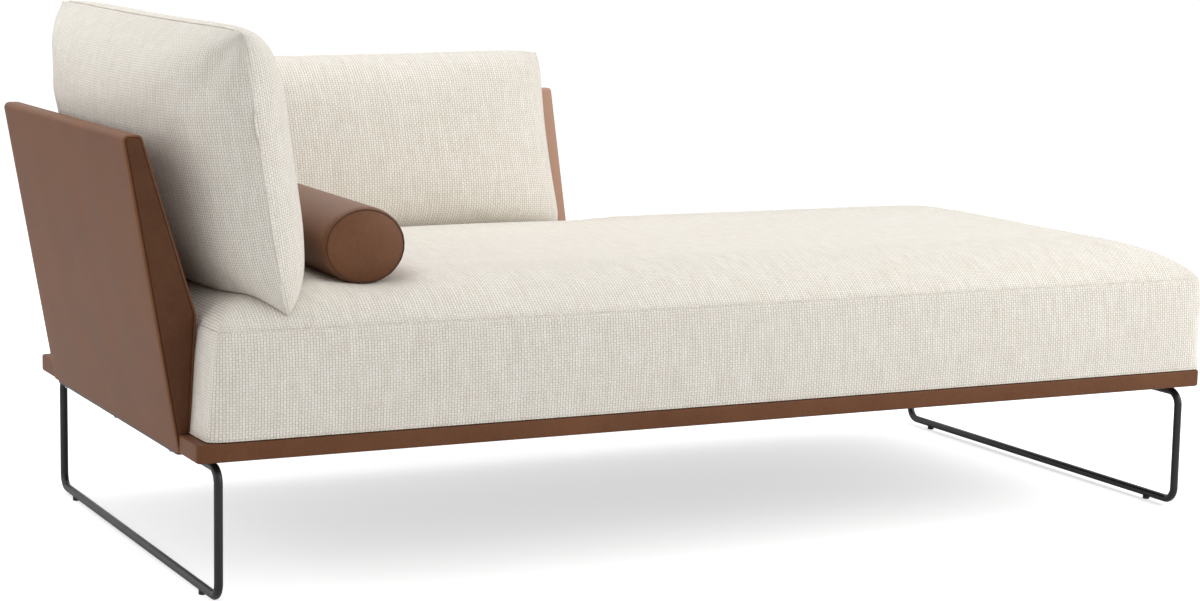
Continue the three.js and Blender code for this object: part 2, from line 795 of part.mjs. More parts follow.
// A strip along the foot side of the tube, between two depths under its surface
function bolsterStrip(side, outerDepth, innerDepth) {
  const inset = bolsterLength * (1 - zipLengthShare) / 2 + side;
  const half = zipWidth / 2 - side;
  const strip = block(-innerDepth, -half, inset, -outerDepth, half, bolsterLength - inset);
  return strip.translate(bolsterWidth / 2, 0, 0).applyMatrix4(bolsterPlace);
}

const bolsterSlot = bolsterStrip(0, -cutOverrun, leatherThickness + fitGap);
const bolsterTube = without(bolsterForm(tube, 0), bolsterForm(hollow, leatherThickness), bolsterSlot);
addPiece('bolster_cover', bolsterTube, leather);
addPiece('bolster_front_cap', bolsterCap(0, -1), leather);
addPiece('bolster_rear_cap', bolsterCap(bolsterLength, 1), leather);
addPiece('bolster_core', bolsterForm(core, leatherFit), foam);
addPiece('bolster_zip', bolsterStrip(fitGap, fitGap, leatherThickness), brownZipTape);

// The middle of the footprint becomes the origin

const bounds = new THREE.Box3().setFromObject(chaise);
const middle = bounds.getCenter(new THREE.Vector3());
chaise.position.set(-middle.x, -middle.y, 0);

export default chaise;
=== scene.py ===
import json
import math

import bmesh
import bpy
import numpy as np
from mathutils import Matrix, Vector


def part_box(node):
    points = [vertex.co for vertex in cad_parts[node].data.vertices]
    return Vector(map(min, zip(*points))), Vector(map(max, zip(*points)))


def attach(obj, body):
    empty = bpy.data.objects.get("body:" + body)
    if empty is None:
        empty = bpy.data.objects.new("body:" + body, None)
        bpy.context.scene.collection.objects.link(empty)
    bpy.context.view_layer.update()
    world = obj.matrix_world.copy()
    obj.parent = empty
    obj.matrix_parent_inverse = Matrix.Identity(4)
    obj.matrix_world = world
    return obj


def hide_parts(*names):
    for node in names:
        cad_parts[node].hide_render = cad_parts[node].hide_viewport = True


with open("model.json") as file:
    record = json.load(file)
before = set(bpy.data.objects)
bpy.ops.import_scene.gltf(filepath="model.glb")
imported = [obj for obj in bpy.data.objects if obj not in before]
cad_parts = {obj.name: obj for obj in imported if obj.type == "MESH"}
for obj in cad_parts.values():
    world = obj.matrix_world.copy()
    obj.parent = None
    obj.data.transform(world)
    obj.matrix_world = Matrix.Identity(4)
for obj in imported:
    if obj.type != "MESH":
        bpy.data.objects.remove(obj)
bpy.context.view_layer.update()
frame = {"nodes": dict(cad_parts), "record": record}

# Sizes are millimetres from the deck's head front corner: X towards the foot end, Y towards the
# rear edge, Z over the floor. placed() turns them into metres of the frame.
MM = 0.001
DECK_LENGTH, DECK_DEPTH = 1905, 900
DECK_UNDERSIDE, DECK_TOP = 225, 255
NOTCH = 19.3
SETBACK = 91
REAR_PANEL_LENGTH = 949
REAR_PANEL_END = SETBACK + REAR_PANEL_LENGTH
SEAM_HEIGHT = 424
CROWN, CROWN_RUN = 54, 34
SEAT_TOP = SEAM_HEIGHT + CROWN

deck_corner = np.array(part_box("deck_leather")[0]) / MM - (0, 0, DECK_UNDERSIDE)


def placed(points):
    """Millimetres in the deck's own frame as metres in the row frame."""
    return (np.asarray(points, float) + deck_corner) * MM


# ---------------------------------------------------------------- finishes


class Value:
    """A socket of a node tree. Arithmetic on it adds the Math nodes."""

    def __init__(self, owner, socket):
        self.owner, self.socket = owner, socket

    def maths(self, operation, *others):
        return self.owner.maths(operation, self, *others)

    def __add__(self, other):
        return self.maths("ADD", other)

    def __sub__(self, other):
        return self.maths("SUBTRACT", other)

    def __mul__(self, other):
        return self.maths("MULTIPLY", other)

    def __truediv__(self, other):
        return self.maths("DIVIDE", other)

    def __mod__(self, other):
        return self.maths("FLOORED_MODULO", other)

    def __rsub__(self, other):
        return self.owner.maths("SUBTRACT", other, self)

    __radd__, __rmul__ = __add__, __mul__

    def floor(self):
        return self.maths("FLOOR")

    def sine(self):
        return self.maths("SINE")

    def root(self):
        return self.maths("SQRT")

    def size(self):
        return self.maths("ABSOLUTE")

    def most(self, other):
        return self.maths("MAXIMUM", other)

    def least(self, other):
        return self.maths("MINIMUM", other)

    def between(self, low, high):
        """From 0 at low to 1 at high, held there outside."""
        scaled = (self - low) / (high - low)
        return scaled.most(0).least(1)


class Nodes:
    """A node tree that is built up from Values."""

    def __init__(self, tree):
        self.tree = tree

    def node(self, kind, output=0, settings=None, **inputs):
        """A node of any kind; inputs are constants or Values, named as its sockets are."""
        made = self.tree.nodes.new("ShaderNode" + kind)
        for label, value in (settings or {}).items():
            setattr(made, label, value)
        for label, value in inputs.items():
            key = int(label[1:]) if label[1:].isdigit() else label.replace("_", " ")
            self.join(value, made.inputs[key])
        return Value(self, made.outputs[output])

    def join(self, value, socket):
        if isinstance(value, Value):
            self.tree.links.new(value.socket, socket)
        else:
            socket.default_value = value

    def maths(self, operation, *values):
        inputs = {f"_{index}": value for index, value in enumerate(values)}
        return self.node("Math", settings={"operation": operation}, **inputs)

    def rays(self, kind):
        """1 for rays of one kind, such as those from the camera, and 0 for others."""
        return self.node("LightPath", output=f"Is {kind} Ray")


class Finish(Nodes):
    """One material: a Principled shader and the nodes that feed it."""

    def __init__(self, name, **constants):
        self.material = bpy.data.materials.new(name)
        self.material.use_nodes = True
        super().__init__(self.material.node_tree)
        self.shader = self.tree.nodes["Principled BSDF"]
        for label, value in constants.items():
            self.shader.inputs[label.replace("_", " ")].default_value = value

    def parts(self, vector):
        """The three components of a vector."""
        made = self.tree.nodes.new("ShaderNodeSeparateXYZ")
        self.join(vector, made.inputs[0])
        return [Value(self, socket) for socket in made.outputs]

    def vector(self, x, y, z=0.0):
        return self.node("CombineXYZ", X=x, Y=y, Z=z)

    def place(self):
        """Object coordinates, in metres."""
        return self.node("TexCoord", output="Object")

    def flat(self):
        """The cloth's own flat coordinates, in metres."""
        return self.parts(self.node("UVMap", settings={"uv_map": "flat"}))

    def attribute(self, name):
        return self.node("Attribute", output="Fac", settings={"attribute_name": name})

    def noise(self, vector, scale, detail=2.0, roughness=0.5):
        return self.node("TexNoise", Vector=vector, Scale=scale, Detail=detail, Roughness=roughness)

    def blend(self, share, first, second):
        """A colour between two, by share from 0 to 1."""
        made = self.tree.nodes.new("ShaderNodeMix")
        made.data_type = "RGBA"
        for value, socket in ((share, 0), (first, 6), (second, 7)):
            self.join(value, made.inputs[socket])
        return Value(self, made.outputs[2])

    def feed(self, **values):
        for label, value in values.items():
            self.join(value, self.shader.inputs[label.replace("_", " ")])

    def relief(self, height, depth, strength=1.0):
        """Bump whose full height is depth metres."""
        bump = self.node("Bump", Height=height, Distance=depth, Strength=strength)
        self.feed(Normal=bump)


def tone(code, alpha=1.0):
    """A colour written in hex, as linear light."""
    shares = np.array([int(code[index:index + 2], 16) for index in (0, 2, 4)]) / 255
    linear = np.where(shares <= 0.04045, shares / 12.92, ((shares + 0.055) / 1.055) ** 2.4)
    return (*linear, alpha)


def woven_linen(name="cream_weave"):
    """Heavy ribbed weave. Warp and weft run in pairs of yarns; the warp's rounded ridges stand
    over the weft's, which show between them and press a little into them. They wander, and each
    pair has its own tone and its own thick and thin places. The gaps are painted darker as
    painted shade, less so on the seat's top, where a mark paints light for a top lit from above."""
    finish = Finish(name, Roughness=0.92, Sheen_Weight=0.2, Sheen_Roughness=0.5)
    finish.feed(Specular_IOR_Level=0.2)
    u, v, _ = finish.flat()
    wander = finish.noise(finish.vector(u, v), 30.0, 1.0) - 0.5
    across = (u + wander * 0.0014) / 0.0050
    along = (v + wander * 0.0022) / 0.0042
    warp, weft = across.floor(), along.floor()
    warp_tone = finish.noise(finish.vector(warp * 7.31, v * 22.0), 1.0, 2.0)
    weft_tone = finish.noise(finish.vector(u * 22.0, weft * 6.19, 7.0), 1.0, 2.0)
    bodies = []
    for place, own_tone in ((across, warp_tone), (along, weft_tone)):
        pair = (place % 1.0 - 0.5) * 2
        yarn = (place * 2 % 1.0 - 0.5) * 2
        pair_round, yarn_round = (1.0 - pair * pair * 0.98).root(), (1.0 - yarn * yarn * 0.95).root()
        ridge = pair_round * 0.65 + yarn_round * 0.35
        bodies.append(ridge * (own_tone * 0.12 + 0.94))
    warp_lift = ((warp % 2.0) * 2 - 1) * (along * math.pi).sine()
    weft_lift = ((weft % 2.0) * -2 + 1) * (across * math.pi).sine()
    warp_top = bodies[0] * (bodies[1] * 0.36 + 0.64) + warp_lift * 0.1 + 0.13
    weft_top = bodies[1] + weft_lift * 0.1 - 0.1
    height = warp_top.most(weft_top)
    on_warp = (warp_top - weft_top).between(-0.08, 0.08)
    fuzz = finish.noise(finish.vector(u * 3000.0, v * 3000.0), 1.0, 2.0)
    warp_colour = finish.blend(warp_tone.between(0.3, 0.7), tone("f4ede1"), tone("fefaf2"))
    weft_colour = finish.blend(weft_tone.between(0.3, 0.7), tone("f0e8da"), tone("fbf6ec"))
    cloth = finish.blend(on_warp, weft_colour, warp_colour)
    brushed, from_seam = finish.attribute("brushed"), finish.attribute("seam")
    # Painted shade: where the yarns lie low the colour goes towards 6e6050, standing in for shade in the
    # gaps; the seat-top mark takes most of it away, painted light for a top lit from above.
    out_of_gap_shade = (height + fuzz * 0.25).between(0.5, 1.1).most(brushed * 0.75)
    cloud = finish.noise(finish.place(), 9.0, 2.0)
    shaded = finish.blend(out_of_gap_shade, tone("6e6050"), cloth)
    finish.feed(Base_Color=finish.blend(cloud.between(0.3, 0.8) * 0.05, shaded, tone("ded3c2")))
    puckers = finish.noise(finish.vector(u, v), 85.0, 1.0) - 0.5
    by_seam = (1.0 - from_seam / 26.0).between(0, 1)
    finish.relief(height + fuzz * 0.2 + puckers * by_seam, 0.0013, 1.0)
    return finish.material


def saddle_leather(name, light, dark, rough=0.46, shine=0.12):
    """Smooth dyed hide: fine pebbled grain, faint mottling, a paler tone on bends that is wear and, along
    the panels' top edge, a painted highlight, and a pale painted highlight where its highlight mark is set.
    """
    finish = Finish(name, Specular_IOR_Level=shine)
    spot = finish.place()
    edges = {"feature": "DISTANCE_TO_EDGE"}
    cells = finish.node("TexVoronoi", settings=edges, Vector=spot, Scale=750.0)
    pores = finish.noise(spot, 1400.0, 2.0)
    clouds = finish.noise(spot, 11.0, 4.0, 0.6)
    fine = finish.noise(spot, 160.0, 3.0)
    mottle = clouds * 0.7 + fine * 0.3
    colour = finish.blend(mottle.between(0.32, 0.68), tone(dark), tone(light))
    wear, faded = finish.attribute("wear"), finish.attribute("faded")
    # Paler towards 9a6c4b: wear on bends and seam ends, and a painted highlight along the panels' top edge.
    colour = finish.blend(wear * 0.22, colour, tone("9a6c4b"))
    # Painted highlight: paler towards c29c87 where the highlight mark is set, on the rear panel's seat
    # side.
    colour = finish.blend(faded * 0.85, colour, tone("c29c87"))
    finish.feed(Base_Color=colour, Roughness=clouds * 0.14 + (rough - 0.07))
    grain = cells.between(0.0, 0.18) * 0.7 + pores * 0.3
    finish.relief(grain, 0.00016, 0.7)
    return finish.material


def hard_coat(name, dark, light, shade, rough, relief, **constants):
    """A plain hard surface. Its tone, its roughness and its relief each follow a noise, given by
    scale and detail; roughness is a share of the noise on a base, and relief has a depth in
    metres and a strength."""
    finish = Finish(name, **constants)
    spot = finish.place()
    scale, detail, share, base = rough
    colour = finish.blend(finish.noise(spot, *shade), tone(dark), tone(light))
    finish.feed(Base_Color=colour, Roughness=finish.noise(spot, scale, detail) * share + base)
    scale, detail, depth, strength = relief
    finish.relief(finish.noise(spot, scale, detail), depth, strength)
    return finish.material


def spunbond(name="black_dust_cloth"):
    """Non-woven cloth: crossed fibres pressed with a grid of small oval bonds."""
    finish = Finish(name, Roughness=0.95)
    spot = finish.place()
    x, y, _ = finish.parts(spot)
    lengthwise = finish.noise(finish.vector(x * 400, y * 2600), 1.0, 3.0)
    fibres = lengthwise + finish.noise(finish.vector(x * 2600, y * 400), 1.0, 3.0)
    bond_x = (x / 0.0018) % 1.0 - 0.5
    bond_y = (y / 0.0018) % 1.0 - 0.5
    bond = (bond_x * bond_x + bond_y * bond_y).between(0.03, 0.08)
    finish.feed(Base_Color=finish.blend(fibres.between(0.6, 1.4), tone("1a1a1b"), tone("343435")))
    finish.relief(bond * 0.6 + fibres * 0.2, 0.0002, 0.8)
    return finish.material


def birch_plywood(name="ply_wood"):
    finish = Finish(name)
    x, y, z = finish.parts(finish.place())
    rings = finish.noise(finish.vector(x * 3, y * 60, z * 700), 1.0, 4.0)
    colour = finish.blend(rings, tone("a97f50"), tone("cfa877"))
    finish.feed(Base_Color=colour, Roughness=rings * 0.2 + 0.6)
    finish.relief(rings, 0.0002, 0.5)
    return finish.material


def open_foam(name="cream_foam"):
    finish = Finish(name, Roughness=0.95)
    spot = finish.place()
    cells = finish.node("TexVoronoi", Vector=spot, Scale=500.0)
    finish.feed(Base_Color=finish.blend(cells, tone("f0e8d2"), tone("c9bd9d")))
    finish.relief(cells, 0.0006, 0.8)
    return finish.material


def twisted(name, light, dark, rough, pitch, depth):
    """Fine slanting ribs, of a twill tape or of a thread's plies."""
    finish = Finish(name, Roughness=rough)
    x, y, z = finish.parts(finish.place())
    rib = (((x + y + z) / pitch) * math.pi).sine().size()
    finish.feed(Base_Color=finish.blend(rib, tone(dark), tone(light)))
    finish.relief(rib, depth, 0.7)
    return finish.material


TAPE = {"rough": 0.8, "pitch": 0.0007, "depth": 0.0002}
THREAD = {"rough": 0.6, "pitch": 0.0006, "depth": 0.00015}

linen = woven_linen()
hide = saddle_leather("brown_hide", "764d32", "663f26")
# A darker copy of the hide for the deck: painted shade, for its front face turned away from the light.
shaded_deck_hide = saddle_leather("brown_deck_hide_painted_shade", "704a33", "613d27")
# A darker copy of the hide for the panels' end gussets: painted shade, for faces turned away from the
# light.
shaded_end_hide = saddle_leather("brown_end_hide_painted_shade", "62402b", "553421")
roll_hide = saddle_leather("brown_roll_hide", "7b5238", "69442c", rough=0.42, shine=0.22)
rod_coat = hard_coat(
    "black_powder", "141618", "1b1d1f", shade=(30.0, 3.0), rough=(30.0, 3.0, 0.12, 0.34),
    relief=(900.0, 2.0, 0.00008, 0.6), Metallic=0.0, Specular_IOR_Level=0.4,
)
zinc = hard_coat(
    "zinc_plating", "8e9298", "bfc2c4", shade=(120.0, 2.0), rough=(600.0, 3.0, 0.25, 0.25),
    relief=(600.0, 3.0, 0.00005, 0.5), Metallic=1.0,
)
plastic = hard_coat(
    "black_moulding", "141517", "1f2022", shade=(1500.0, 2.0), rough=(1500.0, 2.0, 0.2, 0.45),
    relief=(1500.0, 2.0, 0.00006, 0.6),
)
dust_cloth = spunbond()
plywood = birch_plywood()
foam = open_foam()
cream_tape = twisted("cream_zip_tape", "d8cebb", "a59a86", **TAPE)
brown_tape = twisted("brown_zip_tape", "5a3d2c", "38251a", **TAPE)
brown_thread = twisted("brown_thread", "4a2b1d", "26150e", **THREAD)
cream_teeth = twisted("cream_zip_teeth", "e4dccb", "b4a995", **THREAD)
brown_teeth = twisted("brown_zip_teeth", "4a3022", "2c1c13", **THREAD)

NODE_FINISHES = {
    "black_rod": rod_coat, "black_plastic": plastic, "zinc": zinc, "plywood": plywood,
    "brown_leather": hide, "black_cloth": dust_cloth, "foam": foam, "cream_linen": linen,
    "zip_tape": cream_tape, "brown_zip_tape": brown_tape,
}
for part in frame["record"]["subparts"]:
    shell = frame["nodes"][part["node"]]
    shell.data.materials.clear()
    shell.data.materials.append(NODE_FINISHES[part["material_slot"]])


# ---------------------------------------------------------------- making meshes


def sheet_of(points, flat=None, **marks):
    """One grid of points, with its flat coordinates in millimetres and its marks per point."""
    points = np.asarray(points, float)
    shape = points.shape[:2]
    flat = np.zeros((*shape, 2)) if flat is None else np.asarray(flat, float)
    return points, flat, {name: np.broadcast_to(value, shape) for name, value in marks.items()}


def wrapped(grid):
    """The grid with its first column repeated after its last, for a closed ring."""
    return np.concatenate([grid, grid[:, :1]], axis=1)


def joined(name, sheets, finish, merge=0.02, smooth=True):
    """A mesh from grids of points. Each grid gives a quad between every two rows and columns;
    points of two grids closer than merge millimetres become one."""
    first, corners, faces, flats = 0, [], [], []
    marks = {mark: [] for _, _, own in sheets for mark in own}
    for points, flat, own in sheets:
        rows, columns = points.shape[:2]
        index = first + np.arange(rows * columns).reshape(rows, columns)
        quads = np.stack([index[:-1, :-1], index[:-1, 1:], index[1:, 1:], index[1:, :-1]], axis=-1)
        faces.append(quads.reshape(-1, 4))
        corners.append(points.reshape(-1, 3))
        flats.append(flat.reshape(-1, 2))
        for mark, values in marks.items():
            values.append(np.ravel(own[mark]) if mark in own else np.zeros(rows * columns))
        first += rows * columns
    faces = np.concatenate(faces)
    mesh = bpy.data.meshes.new(name)
    mesh.from_pydata(placed(np.concatenate(corners)).tolist(), [], faces.tolist())
    layer = mesh.uv_layers.new(name="flat")
    layer.data.foreach_set("uv", (np.concatenate(flats)[faces.ravel()] * MM).ravel())
    for mark, values in marks.items():
        mesh.attributes.new(mark, "FLOAT", "POINT").data.foreach_set("value", np.concatenate(values))
    work = bmesh.new()
    work.from_mesh(mesh)
    bmesh.ops.remove_doubles(work, verts=work.verts, dist=merge * MM)
    bmesh.ops.dissolve_degenerate(work, edges=work.edges, dist=1e-7)
    bmesh.ops.recalc_face_normals(work, faces=work.faces)
    work.to_mesh(mesh)
    work.free()
    mesh.polygons.foreach_set("use_smooth", np.full(len(mesh.polygons), smooth))
    mesh.materials.append(finish)
    piece = bpy.data.objects.new(name, mesh)
    bpy.context.scene.collection.objects.link(piece)
    return piece


def points_of(mesh):
    points = np.zeros(len(mesh.vertices) * 3)
    mesh.vertices.foreach_get("co", points)
    return points.reshape(-1, 3)


def set_points(mesh, points):
    mesh.vertices.foreach_set("co", np.asarray(points, float).ravel())
    mesh.update()


def normals_of(mesh):
    normals = np.zeros(len(mesh.vertices) * 3)
    mesh.vertices.foreach_get("normal", normals)
    return normals.reshape(-1, 3)


def mark_of(mesh, mark):
    values = np.zeros(len(mesh.vertices))
    mesh.attributes[mark].data.foreach_get("value", values)
    return values


def evened(mesh, move, free, rounds):
    """The moves of the mesh's free points, each made half its own and half the mean of its
    neighbours', round after round."""
    pairs = np.zeros(len(mesh.edges) * 2, int)
    mesh.edges.foreach_get("vertices", pairs)
    first, second = pairs.reshape(-1, 2).T
    count = np.maximum(np.bincount(pairs, minlength=len(move)), 1)[:, None]
    for _ in range(rounds):
        total = np.zeros_like(move)
        np.add.at(total, first, move[second])
        np.add.at(total, second, move[first])
        move = (move + total / count) / 2 * free[:, None]
    return move


CLOTH_FRAMES = 20
CLOTH_STIFFNESS = 15.0


def swollen(piece, held, pressure, growth, cap, rounds, bending=0.5):
    """Blows the piece up as cloth, its filling pushing from inside: the cloth is growth larger
    than the shape it starts from, held points keep their place as far as their weight says, no
    point moves further than cap millimetres, and the moves are evened out over some rounds."""
    scene = bpy.context.scene
    start = points_of(piece.data)
    group = piece.vertex_groups.new(name="held")
    weights = np.round(np.clip(held, 0, 1), 1)
    for weight in np.unique(weights[weights > 0]):
        group.add(np.flatnonzero(weights == weight).tolist(), float(weight), "REPLACE")
    cloth = piece.modifiers.new("filling", "CLOTH")
    cloth.settings.vertex_group_mass = "held"
    cloth.settings.mass = 0.2
    cloth.settings.quality = 6
    cloth.settings.tension_stiffness = cloth.settings.compression_stiffness = CLOTH_STIFFNESS
    cloth.settings.shear_stiffness = CLOTH_STIFFNESS / 3
    cloth.settings.bending_stiffness = bending
    cloth.settings.use_pressure = True
    cloth.settings.uniform_pressure_force = pressure
    cloth.settings.shrink_min = cloth.settings.shrink_max = -growth
    cloth.settings.effector_weights.gravity = 0
    cloth.point_cache.frame_start, cloth.point_cache.frame_end = 1, CLOTH_FRAMES
    for moment in range(1, CLOTH_FRAMES + 1):
        scene.frame_set(moment)
    shape = piece.evaluated_get(bpy.context.evaluated_depsgraph_get())
    move = evened(piece.data, points_of(shape.data) - start, held < 0.95, rounds)
    piece.modifiers.remove(cloth)
    piece.vertex_groups.remove(group)
    scene.frame_set(1)
    far = np.linalg.norm(move, axis=1)[:, None] / MM
    set_points(piece.data, start + move * np.minimum(1, cap / np.maximum(far, 1e-6)))


def seam_line(piece, rim="rim", order="order", others=()):
    """The points of the piece's seam in order round it, with the way out at each and the other
    marks asked for."""
    chosen = np.flatnonzero(mark_of(piece.data, rim) > 0.5)
    chosen = chosen[np.argsort(mark_of(piece.data, order)[chosen])]
    line = points_of(piece.data)[chosen] / MM - deck_corner
    marks = (mark_of(piece.data, mark)[chosen] for mark in others)
    return line, normals_of(piece.data)[chosen], *marks


def smoothed(line):
    """A closed line, each point the mean of itself and its two neighbours."""
    return (line + np.roll(line, 1, axis=0) + np.roll(line, -1, axis=0)) / 3


def sunk_by_seam(piece, depth, run):
    """Draws the cloth in beside its seam: depth times the exponential of the distance from it."""
    away = mark_of(piece.data, "seam")
    drop = depth * np.exp(-((away / run) ** 2)) * MM
    set_points(piece.data, points_of(piece.data) - normals_of(piece.data) * drop[:, None])


def finished(piece, body, slot, *nodes, subdivided=0):
    """Subdivides the piece, lets it ride on its body and stand for its CAD nodes."""
    if subdivided:
        surface = piece.modifiers.new("smooth", "SUBSURF")
        surface.levels = surface.render_levels = subdivided
    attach(piece, body)
    if nodes:
        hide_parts(*nodes)
    return piece


def run_along(points):
    """How far each point of a line lies along it."""
    return np.insert(np.cumsum(np.linalg.norm(np.diff(points, axis=0), axis=1)), 0, 0)


def inset_corners(corners, inset):
    """The corners of an anticlockwise outline whose every side has moved inwards by its inset."""
    corners = np.asarray(corners, float)
    inset = np.broadcast_to(inset, len(corners))
    along = np.roll(corners, -1, axis=0) - corners
    normal = np.stack([-along[:, 1], along[:, 0]], axis=1) / np.linalg.norm(along, axis=1)[:, None]
    sides = np.stack([np.roll(normal, 1, axis=0), normal], axis=1)
    moves = np.stack([np.roll(inset, 1), inset], axis=1)
    return corners + np.linalg.solve(sides, moves[..., None])[..., 0]


def rounded_outline(corners, radii, counts, arc_steps=6):
    """A closed outline. Each corner is an arc that touches its two sides, and each side is
    divided into its count of equal steps."""
    corners = np.asarray(corners, float)
    before = np.roll(corners, 1, axis=0) - corners
    after = np.roll(corners, -1, axis=0) - corners
    before /= np.linalg.norm(before, axis=1)[:, None]
    after /= np.linalg.norm(after, axis=1)[:, None]
    half = np.arccos(np.clip((before * after).sum(1), -1, 1)) / 2
    reach = np.asarray(radii, float) / np.tan(half)
    middle = before + after
    middle /= np.linalg.norm(middle, axis=1)[:, None]
    centre = corners + middle * (np.asarray(radii) / np.sin(half))[:, None]
    start, end = corners + before * reach[:, None], corners + after * reach[:, None]
    pieces = []
    for index in range(len(corners)):
        share = np.linspace(0, 1, arc_steps + 1)[:, None]
        first, last = start[index] - centre[index], end[index] - centre[index]
        spread = math.pi - 2 * half[index]
        if radii[index] > 1e-6:
            arc = np.sin((1 - share) * spread) * first + np.sin(share * spread) * last
            arc = arc / math.sin(spread)
        else:
            arc = np.zeros((arc_steps + 1, 2))
        pieces.append(centre[index] + arc)
        step = np.linspace(0, 1, counts[index] + 1)[1:-1, None]
        pieces.append(end[index] + (start[(index + 1) % len(corners)] - end[index]) * step)
    return np.concatenate(pieces)


def spaced(length, near=(0, 2, 5, 9, 14, 20, 28), step=12.0):
    """Distances along a length, close together at both ends and about step apart between."""
    near = np.array(near, float)
    steps = max(int(round((length - 2 * near[-1]) / step)), 2)
    middle = np.linspace(near[-1], length - near[-1], steps + 1)
    return np.concatenate([near[:-1], middle, length - near[-2::-1]])


def border_marks(rows, columns):
    """1 on a grid's border and 0 inside it, and each border point's place in order round it."""
    rim, order = np.zeros((2, rows, columns))
    rim[0, :], rim[-1, :], rim[:, 0], rim[:, -1] = 1, 1, 1, 1
    order[0, :] = np.arange(columns)
    order[:, -1] = columns - 1 + np.arange(rows)
    order[-1, ::-1] = columns + rows - 2 + np.arange(columns)
    order[1:, 0] = (2 * columns + rows - 3 + np.arange(rows))[:0:-1]
    return rim, order


def middle_arcs(points):
    """Flat coordinates of a cloth: how far its columns and rows lie apart along its middle row
    and its middle column."""
    across = run_along(points[points.shape[0] // 2])
    up = run_along(points[:, points.shape[1] // 2])
    return np.stack(np.meshgrid(across - across[-1] / 2, up - up[-1] / 2), -1)


def tube(name, path, radius, finish, sides=12, closed=True, toward=None, rib=2.5):
    """A round cord along a path. Each ring lies across the path's own direction, turned so that
    its first point looks along toward. Its cloth lies rib millimetres from a gap of the weave."""
    path = np.asarray(path, float)
    if closed:
        ahead = np.roll(path, -1, axis=0) - np.roll(path, 1, axis=0)
    else:
        ahead = np.gradient(path, axis=0)
    ahead /= np.linalg.norm(ahead, axis=1)[:, None]
    toward = np.broadcast_to(np.array((0, 0, 1.0)) if toward is None else toward, path.shape)
    side = np.cross(ahead, toward)
    side /= np.linalg.norm(side, axis=1)[:, None]
    other = np.cross(side, ahead)
    angle = np.linspace(0, 2 * math.pi, sides + 1)[:-1]
    cosine, sine = np.cos(angle)[None, :, None], np.sin(angle)[None, :, None]
    ring = side[:, None] * cosine + other[:, None] * sine
    radius = np.broadcast_to(radius, len(path))
    grid = wrapped(path[:, None] + ring * radius[:, None, None])
    if closed:
        grid = np.concatenate([grid, grid[:1]])
    turn = np.linspace(0, 2 * math.pi, sides + 1)
    cloth_x = rib + min(rib, 1.4) * np.cos(turn)
    flat = np.stack(np.broadcast_arrays(cloth_x[None], run_along(grid[:, 0])[:, None]), -1)
    return joined(name, [sheet_of(grid, flat)], finish)


def at_even_steps(step, line, *others, closed=False):
    """A line and what goes with its points, taken again at even steps along it."""
    if closed:
        line, *others = (np.concatenate([values, values[:1]]) for values in (line, *others))
    run = run_along(line)
    even = np.linspace(0, run[-1], int(run[-1] / step) + 1)
    if closed:
        even = even[:-1]
    return [
        np.stack([np.interp(even, run, column) for column in values.T], -1)
        for values in (line, *others)
    ]


def corded(name, line, out, radius, bump, body):
    """The thick edge of the weave along a closed seam: a cord whose radius rises and falls by
    bump with every pair of yarns."""
    line, out = at_even_steps(1.25, line, out, closed=True)
    run = np.arange(len(line)) * 1.25
    radii = radius + bump * np.abs(np.sin(run * math.pi / 5))
    # rib=0.5 lays the cord's cloth on a gap of the weave, so it takes the painted gap shade: a dark line
    # that stands in for the shade along the seam and where the seat meets the deck.
    cord = tube(name, line, radii, linen, sides=6, toward=out, rib=0.5)
    return finished(cord, body, "cream_linen")


def pebble(centre, axes, sizes, power=0.6):
    """A rounded block: an ellipsoid whose sines and cosines are raised to power."""
    def blunt(values):
        return np.sign(values) * np.abs(values) ** power

    turns, tilts = np.linspace(-math.pi, math.pi, 21), np.linspace(-math.pi / 2, math.pi / 2, 11)
    turn, tilt = np.meshgrid(turns, tilts)
    wide = blunt(np.cos(tilt))
    ball = [wide * blunt(np.cos(turn)), wide * blunt(np.sin(turn)), blunt(np.sin(tilt))]
    return sheet_of(np.asarray(centre) + (np.stack(ball, -1) * sizes) @ np.asarray(axes))


def zip_fastener(node, line, out, body, slot, tape, teeth):
    """A closed zip along a line: a tape raised at its middle, the coil of teeth on it as a cord
    whose radius rises and falls, and at the line's start the slider with its pull."""
    line, out = at_even_steps(0.5, np.asarray(line, float), np.asarray(out, float))
    out /= np.linalg.norm(out, axis=1)[:, None]
    ahead = np.gradient(line, axis=0)
    ahead /= np.linalg.norm(ahead, axis=1)[:, None]
    side = np.cross(ahead, out)
    side /= np.linalg.norm(side, axis=1)[:, None]
    across = np.array([-4.4, -3.4, -1.8, -1.2, 1.2, 1.8, 3.4, 4.4])
    lift = np.array([-0.6, 0.3, 0.4, 0.7, 0.7, 0.4, 0.3, -0.6])
    few = slice(None, None, 10)
    grid = line[few, None] + side[few, None] * across[:, None] + out[few, None] * lift[:, None]
    strip = joined(f"{node}_tape", [sheet_of(grid)], tape)
    finished(thickened(strip, 0.6), body, slot, node)
    coil_line, run = line + out * 1.0, np.arange(len(line)) * 0.5
    radii = 0.7 + 0.35 * np.abs(np.sin(run * math.pi / 2.0))
    radii[[0, -1]] = 0.001
    coil = tube(f"{node}_teeth", coil_line, radii, teeth, sides=6, closed=False, toward=out)
    finished(coil, body, slot)
    slider_at = 24
    axes = np.array([ahead[slider_at], side[slider_at], out[slider_at]])
    middle = coil_line[slider_at]
    blocks = [
        pebble(middle + axes[2] * 0.5, axes, (4.6, 3.4, 1.7)),
        pebble(middle + axes[2] * 2.4 + axes[0] * 0.5, axes, (2.6, 1.1, 0.7)),
        pebble(middle + axes[2] * 2.2 + axes[0] * 10, axes, (8.5, 2.4, 0.5)),
    ]
    finished(joined(f"{node}_slider", blocks, zinc, merge=0.005), body, slot)


# ---------------------------------------------------------------- deck


